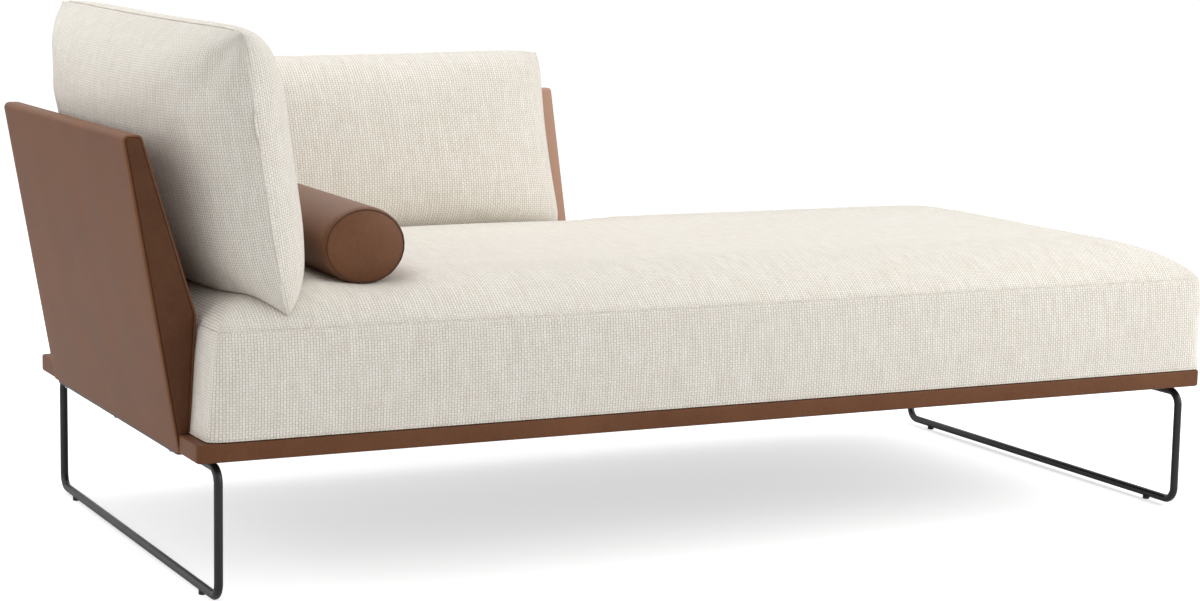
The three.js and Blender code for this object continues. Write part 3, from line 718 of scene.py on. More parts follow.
def deck_skin():
    """The deck's plan, notched for the foot of each panel, carried round its edge on a half
    round: inset and height follow a quarter circle at the top and another at the bottom."""
    near, far = SETBACK - 0.3, DECK_DEPTH - SETBACK + 0.3
    corners = [
        (0, 0), (DECK_LENGTH, 0), (DECK_LENGTH, DECK_DEPTH), (REAR_PANEL_END + 0.3, DECK_DEPTH),
        (REAR_PANEL_END + 0.3, DECK_DEPTH - NOTCH), (near, DECK_DEPTH - NOTCH), (near, DECK_DEPTH),
        (0, DECK_DEPTH), (0, far), (NOTCH, far), (NOTCH, near), (0, near),
    ]
    radii = np.array([8, 8, 8, 4, 1.5, 1.5, 4, 8, 4, 1.5, 1.5, 4.0])
    turns_in = np.array([0, 0, 0, 0, 1, 1, 0, 0, 0, 1, 1, 0], bool)
    counts = [60, 30, 30, 2, 30, 2, 4, 4, 2, 24, 2, 4]
    below, above = 5.0, 3.0
    turn = np.linspace(0, math.pi / 2, 6)
    insets = np.concatenate([below * (1 - np.sin(turn)), above * (1 - np.cos(turn))])
    levels = np.concatenate([
        DECK_UNDERSIDE + below * (1 - np.cos(turn)), DECK_TOP - above * (1 - np.sin(turn)),
    ])
    rings = []
    for inset, level in zip(insets, levels):
        radius = np.where(turns_in, radii + inset, np.maximum(radii - inset, 0.5))
        ring = rounded_outline(inset_corners(corners, inset), radius, counts)
        rings.append(np.column_stack([ring, np.full(len(ring), level)]))
    rings = np.array(rings)
    wear = np.sin(np.linspace(0, 1, len(rings)) * math.pi)[:, None] ** 0.5 * 0.3
    edge = sheet_of(wrapped(rings), wear=wear)
    skin = joined("deck_skin", [edge], shaded_deck_hide)
    work = bmesh.new()
    work.from_mesh(skin.data)
    rims = [edge for edge in work.edges if edge.is_boundary]
    bmesh.ops.holes_fill(work, edges=rims)
    bmesh.ops.recalc_face_normals(work, faces=work.faces)
    for face in work.faces:
        face.smooth = len(face.verts) == 4
    work.to_mesh(skin.data)
    work.free()
    return finished(skin, "base", "brown_leather", "deck_leather")


deck = deck_skin()

# ---------------------------------------------------------------- leaning panels

PANEL_CORNERS = [(0, 225), (19, 225), (19, 255), (30, 440), (-55, 718), (-86, 718)]
PANEL_RADII = np.array([0.8, 0.8, 2.5, 30, 9, 9.0])
PANEL_COUNTS = [4, 5, 30, 46, 4, 70]


def panel_ring(inset):
    """The panel's outline moved inwards all round by inset."""
    radii = np.array([max(radius - inset, 0.6) for radius in PANEL_RADII])
    radii[2] = PANEL_RADII[2] + inset
    return rounded_outline(inset_corners(PANEL_CORNERS, inset), radii, PANEL_COUNTS)


def on_panel(panel, across, height, along):
    """Points of a panel in the deck's frame: across is inwards from the deck's edge, and along
    runs from the panel's rear or foot end."""
    if panel == "head":
        return np.stack(np.broadcast_arrays(across, DECK_DEPTH - SETBACK - along, height), -1)
    return np.stack(np.broadcast_arrays(REAR_PANEL_END - along, DECK_DEPTH - across, height), -1)


SEAM_ROLL = 3.0


def panel_wrap(panel, length):
    """The outline carried along the panel. Near each end it turns in on a quarter circle and
    dips into the seam; the outer side swells a little between the ends and ripples slightly."""
    turn = np.linspace(0, math.pi / 2, 6)
    dip_inset, dip_along = np.array([7.5, 4.6, 3.9]), np.array([2.4, 2.2, 1.1])
    end_inset = np.concatenate([dip_inset, SEAM_ROLL * (1 - np.sin(turn))])
    end_along = np.concatenate([dip_along, SEAM_ROLL * (1 - np.cos(turn))])
    body = np.linspace(SEAM_ROLL, length - SEAM_ROLL, 60)[1:-1]
    insets = np.concatenate([end_inset, np.zeros(len(body)), end_inset[::-1]])
    alongs = np.concatenate([end_along, body, (length - end_along)[::-1]])
    outline = panel_ring(0)
    rings = np.array([panel_ring(inset) for inset in insets])
    share = np.clip(alongs / length, 0, 1)
    level = np.clip((outline[:, 1] - DECK_UNDERSIDE) / 480, 0, 1)
    outer_side = outline[:, 0] < np.interp(outline[:, 1], [225, 718], [4, -78])
    full = np.clip(1 - np.abs(2 * share - 1) ** 8, 0, 1)[:, None]
    full = full * (outer_side * np.clip(1 - np.abs(2 * level - 1) ** 6, 0, 1))[None]
    height, run = rings[..., 1], alongs[:, None]
    ripple = 0.5 * np.sin(height / 61 + run / 83) * np.sin(run / 47 - height / 113)
    across = rings[..., 0] - (1.3 + ripple) * full
    points = on_panel(panel, across, rings[..., 1], alongs[:, None])
    wear = np.exp(-((insets - 1.2) / 1.2) ** 2)[:, None] * (np.abs(share - 0.5) > 0.49)[:, None]
    # Painted highlight: a pale line along the panel's top edge, carried in the same mark as the seam ends'
    # wear.
    top = np.exp(-((outline[:, 1] - 716) / 4.0) ** 2)[None] * 0.7
    # Painted highlight: the rear panel's seat side above the deck is marked to be painted pale.
    faded = (~outer_side & (outline[:, 1] > DECK_TOP + 10))[None] * (1.0 if panel == "rear" else 0.0)
    return sheet_of(wrapped(points), wear=wrapped(np.maximum(wear, top + 0 * wear)),
                    faded=wrapped(np.broadcast_to(faded, wear.shape[:1] + faded.shape[1:])))


def panel_gusset(panel, length, end):
    """The leather over a panel's end: straight lines between the two sides of the outline, 4 mm
    in, which swell out a little in the middle and dive into the seam all round."""
    ring = panel_ring(4.1)
    middle_levels = np.linspace(0.045, 0.955, 44)
    level = np.concatenate([np.linspace(0, 0.03, 5), middle_levels, np.linspace(0.97, 1, 5)])
    low, high = ring[:, 1].min(), ring[:, 1].max()
    foot_start = int(np.argmin(np.hypot(ring[:, 0] - 9.5, ring[:, 1] - low)))
    top_start = int(np.argmin(np.hypot(ring[:, 0] + 70.5, ring[:, 1] - high)))
    seat_chain = ring[foot_start:top_start + 1]
    outer_chain = np.concatenate([ring[top_start:], ring[:foot_start + 1]])[::-1]

    def resampled(chain):
        run = run_along(chain)
        share = run / run[-1]
        return np.stack([np.interp(level, share, chain[:, axis]) for axis in (0, 1)], -1)

    seat, outer = resampled(seat_chain), resampled(outer_chain)
    width = np.concatenate([[0, 0.02, 0.06], np.linspace(0.12, 0.88, 9), [0.94, 0.98, 1]])
    grid = outer[:, None] * (1 - width)[None, :, None] + seat[:, None] * width[None, :, None]
    inward = np.minimum(width, 1 - width) * 50
    ends = np.minimum(level, 1 - level) * 500
    edge = np.minimum(inward[None, :], ends[:, None])
    swell_across = np.sin(np.clip(inward / 25, 0, 1) * math.pi / 2)
    swell = 1.3 * swell_across[None] * np.clip(ends / 60, 0, 1)[:, None]
    out = -1.9 + 2.0 * (1 - np.exp(-edge / 1.1)) + swell
    along = -out if end == "low" else length + out
    points = on_panel(panel, grid[..., 0], grid[..., 1], along)
    return sheet_of(points, wear=0.0)


def thickened(piece, thickness):
    """Gives a skin its wall, inwards."""
    wall = piece.modifiers.new("wall", "SOLIDIFY")
    wall.thickness = thickness * MM
    wall.offset = -1
    return piece


def panel_stitches(panel, length):
    """Short thread loops in the seams: each is a bead stretched along the outline, its radius
    falling as a half ellipse to nothing at both ends."""
    ring = panel_ring(3.75)
    closed = np.vstack([ring, ring[:1]])
    run = run_along(closed)
    pitch = 4.6
    starts = np.arange(2, run[-1] - 4, pitch)
    share = np.linspace(0, 1, 6)
    where = starts[:, None] + share[None] * 3.4
    centre = np.stack([np.interp(where, run, closed[:, axis]) for axis in (0, 1)], -1)
    tangent = np.gradient(centre, axis=1)
    tangent /= np.linalg.norm(tangent, axis=-1)[..., None]
    normal = np.stack([-tangent[..., 1], tangent[..., 0]], -1)
    radius = 0.55 * np.sqrt(np.clip(1 - (2 * share - 1) ** 2, 0.0004, 1))
    angle = np.linspace(0, 2 * math.pi, 7)
    sheets = []
    for end in (0, 1):
        level = -0.9 if end == 0 else 0.9
        across, height = (
            centre[..., None, axis] + normal[..., None, axis] * radius[None, :, None] * np.cos(angle)
            for axis in (0, 1)
        )
        along = end * length - level + radius[None, :, None] * np.sin(angle) + 0 * across
        points = on_panel(panel, across, height, along)
        sheets.extend(sheet_of(bead) for bead in points)
    return joined(f"{panel}_panel_stitches", sheets, brown_thread, merge=0.005)


PANELS = {
    "head": (DECK_DEPTH - 2 * SETBACK, "rear", "front"),
    "rear": (REAR_PANEL_LENGTH, "foot", "head"),
}
for panel, (length, low_end, high_end) in PANELS.items():
    wrap = joined(f"{panel}_panel_skin", [panel_wrap(panel, length)], hide)
    nodes = (f"{panel}_panel_leather", f"{panel}_panel_foam")
    finished(thickened(wrap, 1.2), "base", "brown_leather", *nodes)
    for end, name in (("low", low_end), ("high", high_end)):
        gusset = joined(f"{panel}_panel_{name}_end", [panel_gusset(panel, length, end)], shaded_end_hide)
        finished(thickened(gusset, 1.0), "base", "brown_leather", f"{panel}_panel_{name}_gusset")
    finished(panel_stitches(panel, length), "base", "brown_leather")


# ---------------------------------------------------------------- sleds


def sled_rod(name, x, *nodes):
    """Round rod round a closed loop: a rectangle across the deck with quarter circle bends."""
    radius, bend = 7.0, 24.0
    low, high = 5 + radius, DECK_UNDERSIDE - 0.3 - 4 - 0.3 - radius
    near, far = 12.0, DECK_DEPTH - 12.0
    corners = [(near, low), (far, low), (far, high), (near, high)]
    line = rounded_outline(corners, [bend] * 4, [24, 8, 24, 8], arc_steps=14)
    path = np.column_stack([np.full(len(line), x), line])
    rod = tube(name, path, radius, rod_coat, sides=28, toward=np.array((1.0, 0, 0)))
    return finished(rod, "base", "black_rod", *nodes)


sled_rod("head_sled_loop", 37, "head_sled_rod")
sled_rod("foot_sled_loop", DECK_LENGTH - 37, "foot_sled_rod")


# ---------------------------------------------------------------- seat cushion


def panel_reach(height):
    """How far a panel's seat side stands in from the deck's edge."""
    return 19 + 11 * (np.asarray(height) - DECK_TOP) / 185


SEAT_X = (float(panel_reach(SEAM_HEIGHT)) + 5.3, DECK_LENGTH + 2 - 4)
SEAT_Y = (3 + 5.0, DECK_DEPTH - float(panel_reach(SEAM_HEIGHT)) - 5.3)


SEAT_UNDERSIDE = DECK_TOP + 0.8
SEAT_ZIP_MIDDLE, SEAT_ZIP_HEIGHT = (DECK_LENGTH + REAR_PANEL_END) / 2, (DECK_TOP + SEAM_HEIGHT) / 2
SEAT_ZIP_LENGTH = 0.55 * (DECK_LENGTH - REAR_PANEL_END)


def dent(x, y, line, reach, depth):
    """A shallow hollow under a line from one point to another: depth times a bell curve of the
    distance to it."""
    start, end = np.array(line[0], float), np.array(line[1], float)
    along = end - start
    share = np.clip(((x - start[0]) * along[0] + (y - start[1]) * along[1]) / (along @ along), 0, 1)
    away = np.hypot(x - start[0] - share * along[0], y - start[1] - share * along[1])
    return depth * np.exp(-(away / reach) ** 2)


def pressed_in(x, y):
    """How far the two back cushions and the bolster press into the seat's top."""
    return (dent(x, y, ((322, 130), (338, 590)), 44, 6.0)
            + dent(x, y, ((150, 60), (118, 780)), 60, 3.0)
            + dent(x, y, ((260, 822), (950, 822)), 55, 3.0))


def seat_rise(edge):
    """The crown's climb over the seam at a distance from the nearest edge: one minus the
    exponential of that distance over the crown's run."""
    return CROWN * (1 - np.exp(-edge / CROWN_RUN))


def nearest_edge(far_x, far_y):
    """The distance to a rectangle's nearest edge; two near edges count together, as the minus
    fourth root of the sum of their minus fourth powers."""
    far_x, far_y = np.clip(far_x, 0.01, None), np.clip(far_y, 0.01, None)
    return (far_x ** -4.0 + far_y ** -4.0) ** -0.25


def seat_top(x, y, edge):
    """The height of the seat's top at a point of its plan that lies edge from its edge."""
    return SEAM_HEIGHT + seat_rise(edge) - pressed_in(x, y) * np.clip(edge / 40, 0, 1)


def seat_height(x, y):
    far_x, far_y = np.minimum(x - SEAT_X[0], SEAT_X[1] - x), np.minimum(y - SEAT_Y[0], SEAT_Y[1] - y)
    return seat_top(x, y, nearest_edge(far_x, far_y))


def seat_crown():
    """The top as one cloth, drawn to a rounded corner by a high power of the other coordinate."""
    size_x, size_y = SEAT_X[1] - SEAT_X[0], SEAT_Y[1] - SEAT_Y[0]
    s, t = np.meshgrid(2 * spaced(size_x) / size_x - 1, 2 * spaced(size_y) / size_y - 1)
    pull = 8 * (1 - math.sqrt(0.5))
    x = SEAT_X[0] + (s + 1) / 2 * size_x - s * pull * np.abs(t) ** 60
    y = SEAT_Y[0] + (t + 1) / 2 * size_y - t * pull * np.abs(s) ** 130
    edge = nearest_edge(np.minimum(s + 1, 1 - s) / 2 * size_x, np.minimum(t + 1, 1 - t) / 2 * size_y)
    edge = np.where((np.abs(s) > 0.999999) | (np.abs(t) > 0.999999), 0, edge)
    top = np.stack([x, y, seat_top(x, y, edge)], -1)
    rim, order = border_marks(*edge.shape)
    hold = np.maximum(rim, np.clip((pressed_in(x, y) - 0.2) / 1.5, 0.12, 1))
    cell = np.arange(edge.size).reshape(edge.shape) + 1.0
    # Painted light: rises from 50 to 200 mm in from the edge, and the linen lets it lift most of the
    # painted gap shade off the top, as for a top lit from above.
    brushed = np.clip((edge - 50) / 150, 0, 1)
    return sheet_of(
        top, middle_arcs(top), seam=edge, rim=rim, order=order, held=hold, cell=cell, brushed=brushed,
    )


def seat_band(loop, order):
    """The sides: the seam's loop carried down. Each level stands out by a swell of 5 mm that
    falls with the third power towards both seams, and tucks in over the deck."""
    ahead = np.roll(loop, -1, axis=0) - np.roll(loop, 1, axis=0)
    out = np.stack([ahead[:, 1], -ahead[:, 0]], -1)
    out /= np.linalg.norm(out, axis=1)[:, None]
    levels = SEAM_HEIGHT - spaced(SEAM_HEIGHT - SEAT_UNDERSIDE, near=(0, 2, 5, 9, 15))
    share = (levels - DECK_TOP) / (SEAM_HEIGHT - DECK_TOP)
    tuck = 3.5 * np.exp((DECK_TOP - levels) / 2)
    swell = 5 + np.where(share > 0.5, -5.0, 1.8) * np.abs(2 * share - 1) ** 3 - tuck
    lean = panel_reach(levels) - panel_reach(SEAM_HEIGHT)
    by_head, by_rear = np.clip(-out[None, :, 0], 0, 1), np.clip(out[None, :, 1], 0, 1)
    band_x = loop[None, :, 0] + out[None, :, 0] * swell[:, None] + lean[:, None] * by_head
    band_y = loop[None, :, 1] + out[None, :, 1] * swell[:, None] - lean[:, None] * by_rear
    band = wrapped(np.stack([band_x, band_y, np.broadcast_to(levels[:, None], band_x.shape)], -1))
    run = run_along(band[len(levels) // 2])
    run = run * round(run[-1] / 10) * 10 / run[-1] + 2.5
    flat = np.stack(np.broadcast_arrays(run[None], levels[:, None]), -1)
    at_seam = (levels == SEAM_HEIGHT)[:, None] * 1.0
    at_foot = (levels == levels[-1])[:, None] * 1.0
    hold = np.clip(np.maximum(at_seam, (levels < DECK_TOP + 3)[:, None] * 1.0), 0.12, 1)
    by_panel = (out[:, 0] < -0.5) | ((out[:, 1] > 0.5) & (loop[:, 0] < REAR_PANEL_END + 30))
    from_zip = np.abs(loop[:, 0] - SEAT_ZIP_MIDDLE)
    by_zip = (out[:, 1] > 0.5) & (from_zip < SEAT_ZIP_LENGTH / 2 + 30)
    return sheet_of(
        band, flat, seam=np.minimum(SEAM_HEIGHT - levels, 60.0)[:, None], rim=at_seam,
        held=np.maximum(hold, wrapped((by_panel | by_zip)[None] * 1.0)),
        order=at_seam * order, foot=at_foot, foot_order=at_foot * order,
    )


def seat_underside(foot, order):
    """The bottom: the band's lowest loop in rings that close on the seat's middle line."""
    middle_x = np.clip(foot[:, 0], SEAT_X[0] + 400, SEAT_X[1] - 400)
    middle = np.stack([middle_x, np.full(len(foot), np.mean(SEAT_Y))], -1)
    shares = np.array([0, 0.02, 0.1, 0.4, 1.0])[:, None, None]
    rings = foot[None, :, :2] * (1 - shares) + middle[None] * shares
    base = wrapped(np.concatenate([rings, np.full((*rings.shape[:2], 1), SEAT_UNDERSIDE)], -1))
    outer = (shares[..., 0] == 0) * 1.0
    return sheet_of(base, base[..., :2], seam=60.0, held=1.0, foot=outer, foot_order=outer * order)


def seat_sheets():
    """The crown, the band and the bottom, which share the loop of the seam. The loop starts at
    the rear corner by the head panel, where nothing shows the join of the weave."""
    crown = seat_crown()
    top = crown[0]
    rows, columns = top.shape[:2]
    loop = np.concatenate([top[0, :-1], top[:-1, -1], top[-1, :0:-1], top[:0:-1, 0]])
    hidden_corner = 2 * (columns - 1) + rows - 1
    loop = np.roll(loop, -hidden_corner, axis=0)
    order = wrapped(np.roll(np.arange(len(loop)), -hidden_corner)[None] * 1.0)
    band = seat_band(loop, order)
    return [crown, band, seat_underside(band[0][-1, :-1], order)]


def seat_change(piece):
    """How far the filled seat's top lies from its drawn height, by the rows and columns it was
    drawn with."""
    size_x, size_y = SEAT_X[1] - SEAT_X[0], SEAT_Y[1] - SEAT_Y[0]
    across, up = SEAT_X[0] + spaced(size_x), SEAT_Y[0] + spaced(size_y)
    table = np.zeros(len(across) * len(up))
    cell = np.rint(mark_of(piece.data, "cell")).astype(int)
    here = points_of(piece.data)[cell > 0] / MM - deck_corner
    table[cell[cell > 0] - 1] = here[:, 2] - seat_height(here[:, 0], here[:, 1])
    return across, up, table.reshape(len(up), len(across))


def seat_ground(x, y):
    """The filled seat's height: the drawn one and the change between the four nearest of its
    rows and columns, by their shares."""
    across, up, table = filled_seat
    column = np.clip(np.searchsorted(across, x) - 1, 0, len(across) - 2)
    row = np.clip(np.searchsorted(up, y) - 1, 0, len(up) - 2)
    s = np.clip((x - across[column]) / (across[column + 1] - across[column]), 0, 1)
    t = np.clip((y - up[row]) / (up[row + 1] - up[row]), 0, 1)
    near = table[row, column] * (1 - s) + table[row, column + 1] * s
    far = table[row + 1, column] * (1 - s) + table[row + 1, column + 1] * s
    return seat_height(x, y) + near * (1 - t) + far * t


def over_seat(points, gap=0.8):
    """Points raised where they would sink into the seat."""
    points = np.array(points)
    points[:, 2] = np.maximum(points[:, 2], seat_ground(points[:, 0], points[:, 1]) + gap)
    return points


def before_panel(points, panel, gap=0.8):
    """Points pressed flat against a panel's seat side, above the seat."""
    points = np.array(points)
    face = 30 - (points[:, 2] - 440) * 85 / 278 + gap
    if panel == "head":
        points[:, 0] = np.maximum(points[:, 0], face)
    else:
        points[:, 1] = np.minimum(points[:, 1], DECK_DEPTH - face)
    return points


seat = joined("seat_cushion", seat_sheets(), linen)
swollen(seat, mark_of(seat.data, "held"), pressure=1.5, growth=0.003, cap=8, rounds=4)
sunk_by_seam(seat, 2.2, 3.2)
filled_seat = seat_change(seat)
seam, seam_out = seam_line(seat)
corded("seat_cushion_seam", smoothed(seam) + seam_out * 0.4, seam_out, 0.8, 0.3, "seat_cushion")
foot, foot_out = seam_line(seat, "foot", "foot_order")
foot_out[:, 2] = 0
foot += foot_out / np.linalg.norm(foot_out, axis=1)[:, None] * 1.9
foot[:, 2] = DECK_TOP + 2.5
corded("seat_cushion_foot_seam", foot, np.array((0, 0, 1.0)) + 0 * foot, 0.8, 0.6, "seat_cushion")
seat_zip = np.linspace(-0.5, 0.5, 40)[:, None] * (SEAT_ZIP_LENGTH, 0, 0)
seat_zip_y = SEAT_Y[1] + 5 + float(panel_reach(SEAM_HEIGHT) - panel_reach(SEAT_ZIP_HEIGHT))
seat_zip = seat_zip + (SEAT_ZIP_MIDDLE, seat_zip_y, SEAT_ZIP_HEIGHT)
zip_out = np.array((0, 1.0, 0)) + 0 * seat_zip
zip_fastener(
    "seat_cushion_zip", seat_zip, zip_out, "seat_cushion", "zip_tape", cream_tape, cream_teeth,
)
finished(seat, "seat_cushion", "cream_linen", "seat_cushion_cover", "seat_cushion_core", subdivided=1)

# ---------------------------------------------------------------- back cushions


def cushion_place(front_angle, lean, tip, height, foot):
    """The axes and middle of a leaning cushion: across, up and out to its front."""
    front = np.array((math.cos(front_angle), math.sin(front_angle), 0.0))
    upright = np.array((0, 0, 1.0))
    out = front * math.cos(lean) + upright * math.sin(lean)
    rise = upright * math.cos(lean) - front * math.sin(lean)
    side = np.cross(rise, out)
    across = side * math.cos(tip) + np.cross(out, side) * math.sin(tip)
    up = rise * math.cos(tip) + np.cross(out, rise) * math.sin(tip)
    return np.array([across, up, out]), np.asarray(foot, float) + up * height / 2


CUSHIONS = {
    "head": {
        "size": (806.0, 454.0, 214.0),
        "place": cushion_place(
            math.radians(4), math.radians(9.5), math.radians(1.3), 454,
            (119, 15 + 403 * math.cos(math.radians(4)), SEAT_TOP - 36),
        ),
        "falls": ((1.02, 1.0), (0.62, 0.8)),
        "zip_side": 1,
        "curl": 5,
        "ear": 3,
    },
    "rear": {
        "size": (812.0, 354.0, 185.0),
        "place": cushion_place(
            -math.pi / 2, math.radians(16), math.radians(0.75), 354,
            (REAR_PANEL_END - 42 - 406, DECK_DEPTH - 30 - 52, SEAT_TOP - 26),
        ),
        "falls": ((0.95, 0.8), (0.92, 0.85)),
        "zip_side": -1,
        "curl": 0,
        "ear": 2,
    },
}


def even_shares(size, thickness, near, step):
    """Shares from -1 to 1 whose steps are even along a face's own arc, and short by its seams."""
    share = np.sin(np.linspace(-0.5, 0.5, 4001) * math.pi)
    arc = np.column_stack([share * size / 2, thickness / 2 * np.sqrt(np.clip(1 - share ** 4, 0, 1))])
    run = run_along(arc)
    return np.interp(spaced(run[-1], near, step), run, share)


def knife_edge_sheets(size, place, falls, zip_side, curl, ear):
    """Two faces that meet in a seam. The half thickness is the root of one minus a power of the
    place across, times the same up, and falls from the bottom to the top, where the filling has
    sunk; the edge is drawn in between rounded corners, the lower corners are drawn out by ear,
    and the seam curls forwards by curl at the lower corner away from the zip."""
    width, height, thickness = size
    axes, centre = place
    near = (0, 1.4, 3, 5, 8, 12.5)
    across, up = (even_shares(extent, thickness, near, 8) for extent in (width, height))
    a, b = np.meshgrid(across, up)
    corner_pull = 26 * (1 - math.sqrt(0.5))
    x = a * (width / 2 - corner_pull * np.abs(b) ** 12 - 8 * (1 - b ** 2))
    y = b * (height / 2 - corner_pull * np.abs(a) ** 12 - 4 * (1 - a ** 2))
    corner = np.hypot((1 - np.abs(a)) * width / 2, (1 + b) * height / 2)
    drawn_out = ear * np.exp(-(corner / 34) ** 2)
    x, y = x + np.sign(a) * drawn_out * 0.5, y - drawn_out
    swell_across = thickness / 2 * np.sqrt(np.clip(1 - a ** 4, 0, 1))
    swells = [
        swell_across * np.sqrt(np.clip(1 - np.abs(b) ** power, 0, 1))
        for power in (6, np.where(b < 0, 4, 6))
    ]
    away = np.hypot((1 + zip_side * a) * width / 2, (1 + b) * height / 2)
    forwards = curl * np.exp(-(away / 50) ** 2)
    flat = middle_arcs(np.stack([x, y, swells[0]], -1))
    unzipped = 1.0 - (a * zip_side > 0.9999) * (np.abs(b) < 0.56)
    edge = np.minimum(np.minimum(*np.abs(flat[0, [0, -1], 0, None, None] - flat[..., 0])),
                      np.minimum(*np.abs(flat[[0, -1], 0, 1, None, None] - flat[..., 1])))
    rim, order = border_marks(*edge.shape)
    sheets = []
    for face, swell, (low, high) in zip((1, -1), swells, falls):
        filled = low + (high - low) * (b + 1) / 2
        local = np.stack([x, y, face * swell * filled + forwards], -1)
        sheets.append(sheet_of(
            local @ axes + centre, flat, seam=edge, rim=rim, order=order, held=rim, unzipped=unzipped,
        ))
    return sheets


def cushion_welt(piece, name, radius=1.7, lift=2.0):
    """The raised line of the seam: a thin roll of the cover's cloth all round but for the zip,
    tapering to nothing at both ends there. Returns the zip's line and the way out from it."""
    line, out, unzipped = seam_line(piece, others=("unzipped",))
    for _ in range(8):
        line, out = smoothed(line), smoothed(out)
    out /= np.linalg.norm(out, axis=1)[:, None]
    sewn = unzipped > 0.5
    turn = -int(np.flatnonzero(~sewn & np.roll(sewn, -1))[0]) - 1
    line, out, sewn = (np.roll(values, turn, axis=0) for values in (line, out, sewn))
    roll_line = before_panel(over_seat((line + out * lift)[sewn], radius + 0.8), name, radius + 0.8)
    radii = np.full(len(roll_line), radius)
    radii[[0, -1]] = 0.001
    seam_name, toward = f"{name}_back_cushion_seam", out[sewn]
    roll = tube(seam_name, roll_line, radii, linen, sides=10, closed=False, toward=toward)
    finished(roll, f"{name}_cushion", "cream_linen")
    return (line + out * 0.8)[~sewn], out[~sewn]


for name, cushion in CUSHIONS.items():
    body = f"{name}_cushion"
    piece = joined(f"{name}_back_cushion", knife_edge_sheets(**cushion), linen)
    held = mark_of(piece.data, "held")
    swollen(piece, held, pressure=4.0, growth=0.002, cap=22, bending=3.0, rounds=12)
    sunk_by_seam(piece, 2.6, 5.0)
    local = points_of(piece.data) / MM - deck_corner
    set_points(piece.data, placed(before_panel(over_seat(local), name)))
    zip_line, zip_out = cushion_welt(piece, name)
    zip_fastener(f"{body}_zip", zip_line, zip_out, body, "zip_tape", cream_tape, cream_teeth)
    finished(piece, body, "cream_linen", f"{body}_cover", f"{body}_core", subdivided=1)

# ---------------------------------------------------------------- bolster

BOLSTER_LENGTH, BOLSTER_WIDTH, BOLSTER_HEIGHT = 480.0, 139.0, 125.0
bolster_turn = math.radians(2)
bolster_along = np.array((math.sin(bolster_turn), math.cos(bolster_turn), 0.0))
bolster_side = np.array((math.cos(bolster_turn), -math.sin(bolster_turn), 0.0))
BOLSTER_HEAD_SIDE, BOLSTER_FRONT, BOLSTER_SUNK = 248.0, 120.0, 9.0
bolster_start = np.array((
    BOLSTER_HEAD_SIDE + BOLSTER_WIDTH / 2, BOLSTER_FRONT, SEAT_TOP - BOLSTER_SUNK + BOLSTER_HEIGHT / 2,
))


def bolster_points(radius, run, angle):
    """Points of the roll: radius is a share of its half section, widened to its own width."""
    across = radius * BOLSTER_WIDTH / 2 * np.cos(angle)
    height = radius * BOLSTER_HEIGHT / 2 * np.sin(angle)
    return (bolster_start + across[..., None] * bolster_side + run[..., None] * bolster_along
            + height[..., None] * np.array((0, 0, 1.0)))


def bolster_tube():
    """A roll whose radius grows from its end seams over a short shoulder."""
    run = spaced(BOLSTER_LENGTH, near=(0, 0.8, 2, 4, 7, 11, 16, 22), step=10)
    angle = np.linspace(0, 2 * math.pi, 97)
    near = np.minimum(run, BOLSTER_LENGTH - run)
    share = 0.93 + 0.07 * (1 - np.exp(-near / 4.0))
    radius, run, angle, near = np.broadcast_arrays(share[:, None], run[:, None], angle[None], near[:, None])
    puckers = np.sin(angle * 23 + np.sin(angle * 5) * 2) * np.exp(-near / 9) * 0.006
    return sheet_of(bolster_points(radius + puckers, run, angle), wear=0.1 * np.exp(-near / 4))


def bolster_cap(end):
    """A domed disc: it bulges as one minus the square of the radius, with puckers at its rim."""
    share = np.concatenate([np.linspace(0, 0.8, 14), np.linspace(0.84, 1, 9)])
    angle = np.linspace(0, 2 * math.pi, 97)
    share, angle = np.meshgrid(share, angle, indexing="ij")
    strength = 0.12 + 0.6 * np.clip(np.cos(angle - 0.7), 0, 1) * (0.7 + 0.3 * np.sin(angle * 5))
    inward = (1 - share) * 16
    puckers = np.sin(angle * 19 + np.sin(angle * 4) * 2.2) * np.exp(-inward) * inward
    bulge = 9 * (1 - share ** 2.4) + puckers * strength
    run = -bulge if end == 0 else BOLSTER_LENGTH + bulge
    return sheet_of(bolster_points(share * 0.922, run, angle), wear=0.0)


for name, sheets, nodes in (
    ("bolster_roll", [bolster_tube()], ("bolster_cover", "bolster_core")),
    ("bolster_front_disc", [bolster_cap(0)], ("bolster_front_cap",)),
    ("bolster_rear_disc", [bolster_cap(1)], ("bolster_rear_cap",)),
):
    piece = joined(name, sheets, roll_hide)
    local = over_seat(points_of(piece.data) / MM - deck_corner)
    set_points(piece.data, placed(local))
    finished(thickened(piece, 1.4), "bolster", "brown_leather", *nodes)

for end, name in ((0, "front"), (1, "rear")):
    angle = np.linspace(0, 2 * math.pi, 145)[:-1]
    run = end * BOLSTER_LENGTH + (end * 2 - 1) * 0.2
    ring = bolster_points(np.full(144, 0.93), np.full(144, run), angle)
    ring = over_seat(ring, gap=1.8)
    welt = tube(f"bolster_{name}_seam", ring, 0.85, brown_thread, sides=8, toward=bolster_along)
    finished(welt, "bolster", "brown_leather")

zip_run = np.linspace(0.225, 0.775, 40) * BOLSTER_LENGTH
zip_line = bolster_points(np.full(40, 1.003), zip_run, np.zeros(40))
zip_out = bolster_side + 0 * zip_line
zip_fastener("bolster_zip", zip_line, zip_out, "bolster", "brown_zip_tape", brown_tape, brown_teeth)

# ---------------------------------------------------------------- floor, light and camera


AIR_STRENGTH = 0.54
LAMPS = [
    ("lamp_above", (-0.9, 0.9, 3.5), (-0.3, 0.1, 0.4), 2.6, 47),
    ("lamp_front_right", (2.4, -3.4, 2.4), (0.0, 0.0, 0.4), 2.0, 46),
    ("lamp_right", (3.0, -1.0, 1.8), (-0.2, 0.0, 0.5), 2.0, 40),
    ("lamp_left", (-3.6, 0.3, 1.6), (-0.9, 0.0, 0.5), 2.0, 25),
]


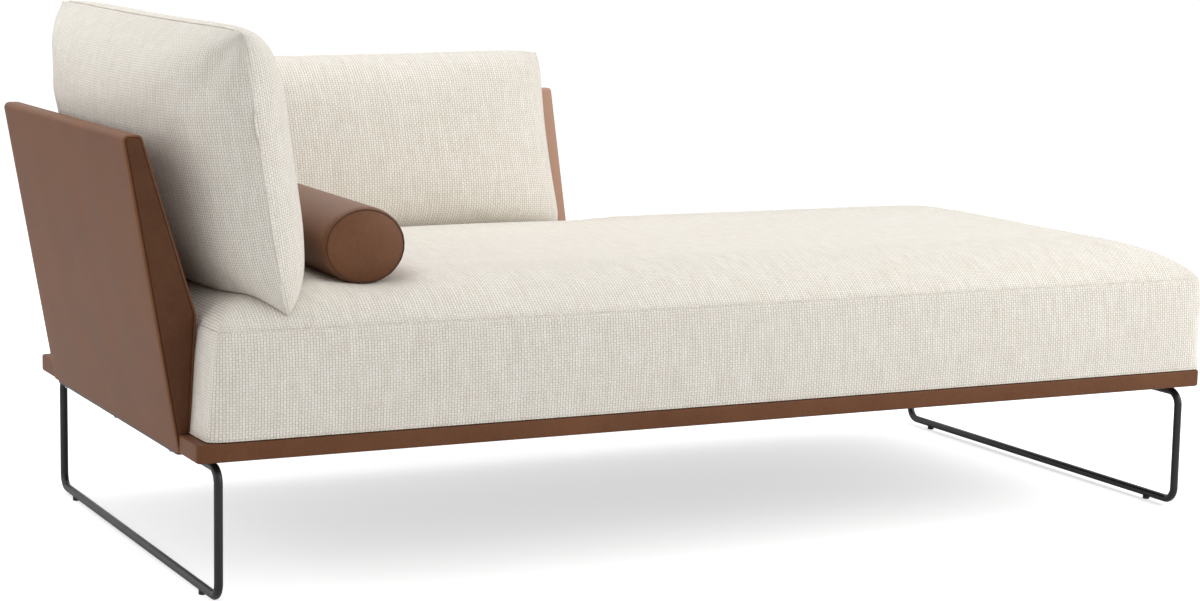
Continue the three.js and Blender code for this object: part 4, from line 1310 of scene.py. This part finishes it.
def studio():
    """A pale floor and a pale surround. What the camera sees of them is white; what lights the
    object is plain and soft."""
    scene = bpy.context.scene
    floor = bpy.data.objects.new("studio_floor", bpy.data.meshes.new("studio_floor"))
    corners = [(-30, -30, 0), (30, -30, 0), (30, 30, 0), (-30, 30, 0)]
    floor.data.from_pydata(corners, [], [(0, 1, 2, 3)])
    scene.collection.objects.link(floor)
    pale = (0.85, 0.85, 0.85, 1)
    paint = Finish("floor_paint", Base_Color=pale, Roughness=0.9, Specular_IOR_Level=0.1)
    glow = paint.rays("Camera") * 0.6 + paint.rays("Glossy") * 0.15
    paint.feed(Emission_Color=(1, 1, 1, 1), Emission_Strength=glow)
    floor.data.materials.append(paint.material)
    world = bpy.data.worlds.new("studio_air")
    scene.world = world
    world.use_nodes = True
    world.node_tree.nodes.clear()
    air = Nodes(world.node_tree)
    white = (1, 1, 1, 1)
    seen = air.rays("Camera").most(air.rays("Glossy")).most(air.rays("Transmission"))
    surround = air.node("Background", Color=white, Strength=AIR_STRENGTH)
    backdrop = air.node("Background", Color=white, Strength=1.0)
    output = air.tree.nodes.new("ShaderNodeOutputWorld")
    air.join(air.node("MixShader", _0=seen, _1=surround, _2=backdrop), output.inputs["Surface"])
    for name, place, aim, size, power in LAMPS:
        light = bpy.data.lights.new(name, "AREA")
        light.shape = "SQUARE"
        light.size = size
        light.energy = power
        lamp = bpy.data.objects.new(name, light)
        lamp.location = place
        direction = np.array(aim) - np.array(place)
        lamp.rotation_euler = Vector(direction).to_track_quat("-Z", "Y").to_euler()
        scene.collection.objects.link(lamp)


def photo_camera():
    """The photograph's camera: turned by yaw about the vertical, tipped down by pitch, and
    rolled by a degree, its focal length 2646.8 pixels of a picture 1200 wide."""
    yaw, pitch, roll = np.radians([26.743, 8.257, -1.049])
    level_ahead = np.array((math.sin(yaw), math.cos(yaw), 0))
    ahead = level_ahead * math.cos(pitch) - np.array((0, 0, math.sin(pitch)))
    right = np.array((math.cos(yaw), -math.sin(yaw), 0))
    down = np.cross(ahead, right)
    turned_right = math.cos(roll) * right + math.sin(roll) * down
    turned_down = math.cos(roll) * down - math.sin(roll) * right
    lens = bpy.data.cameras.new("photo_camera")
    lens.sensor_width = 36
    lens.lens = 36 * 2646.8 / 1200
    lens.clip_end = 100
    camera = bpy.data.objects.new("photo_camera", lens)
    spot = placed((-1222.6, -3765.8, 1055.4))
    matrix = np.eye(4)
    matrix[:3] = np.stack([turned_right, -turned_down, -ahead, spot], axis=1)
    camera.matrix_world = Matrix(matrix.tolist())
    bpy.context.scene.collection.objects.link(camera)
    bpy.context.scene.camera = camera


studio()
photo_camera()
bpy.context.scene.view_settings.view_transform = "Standard"
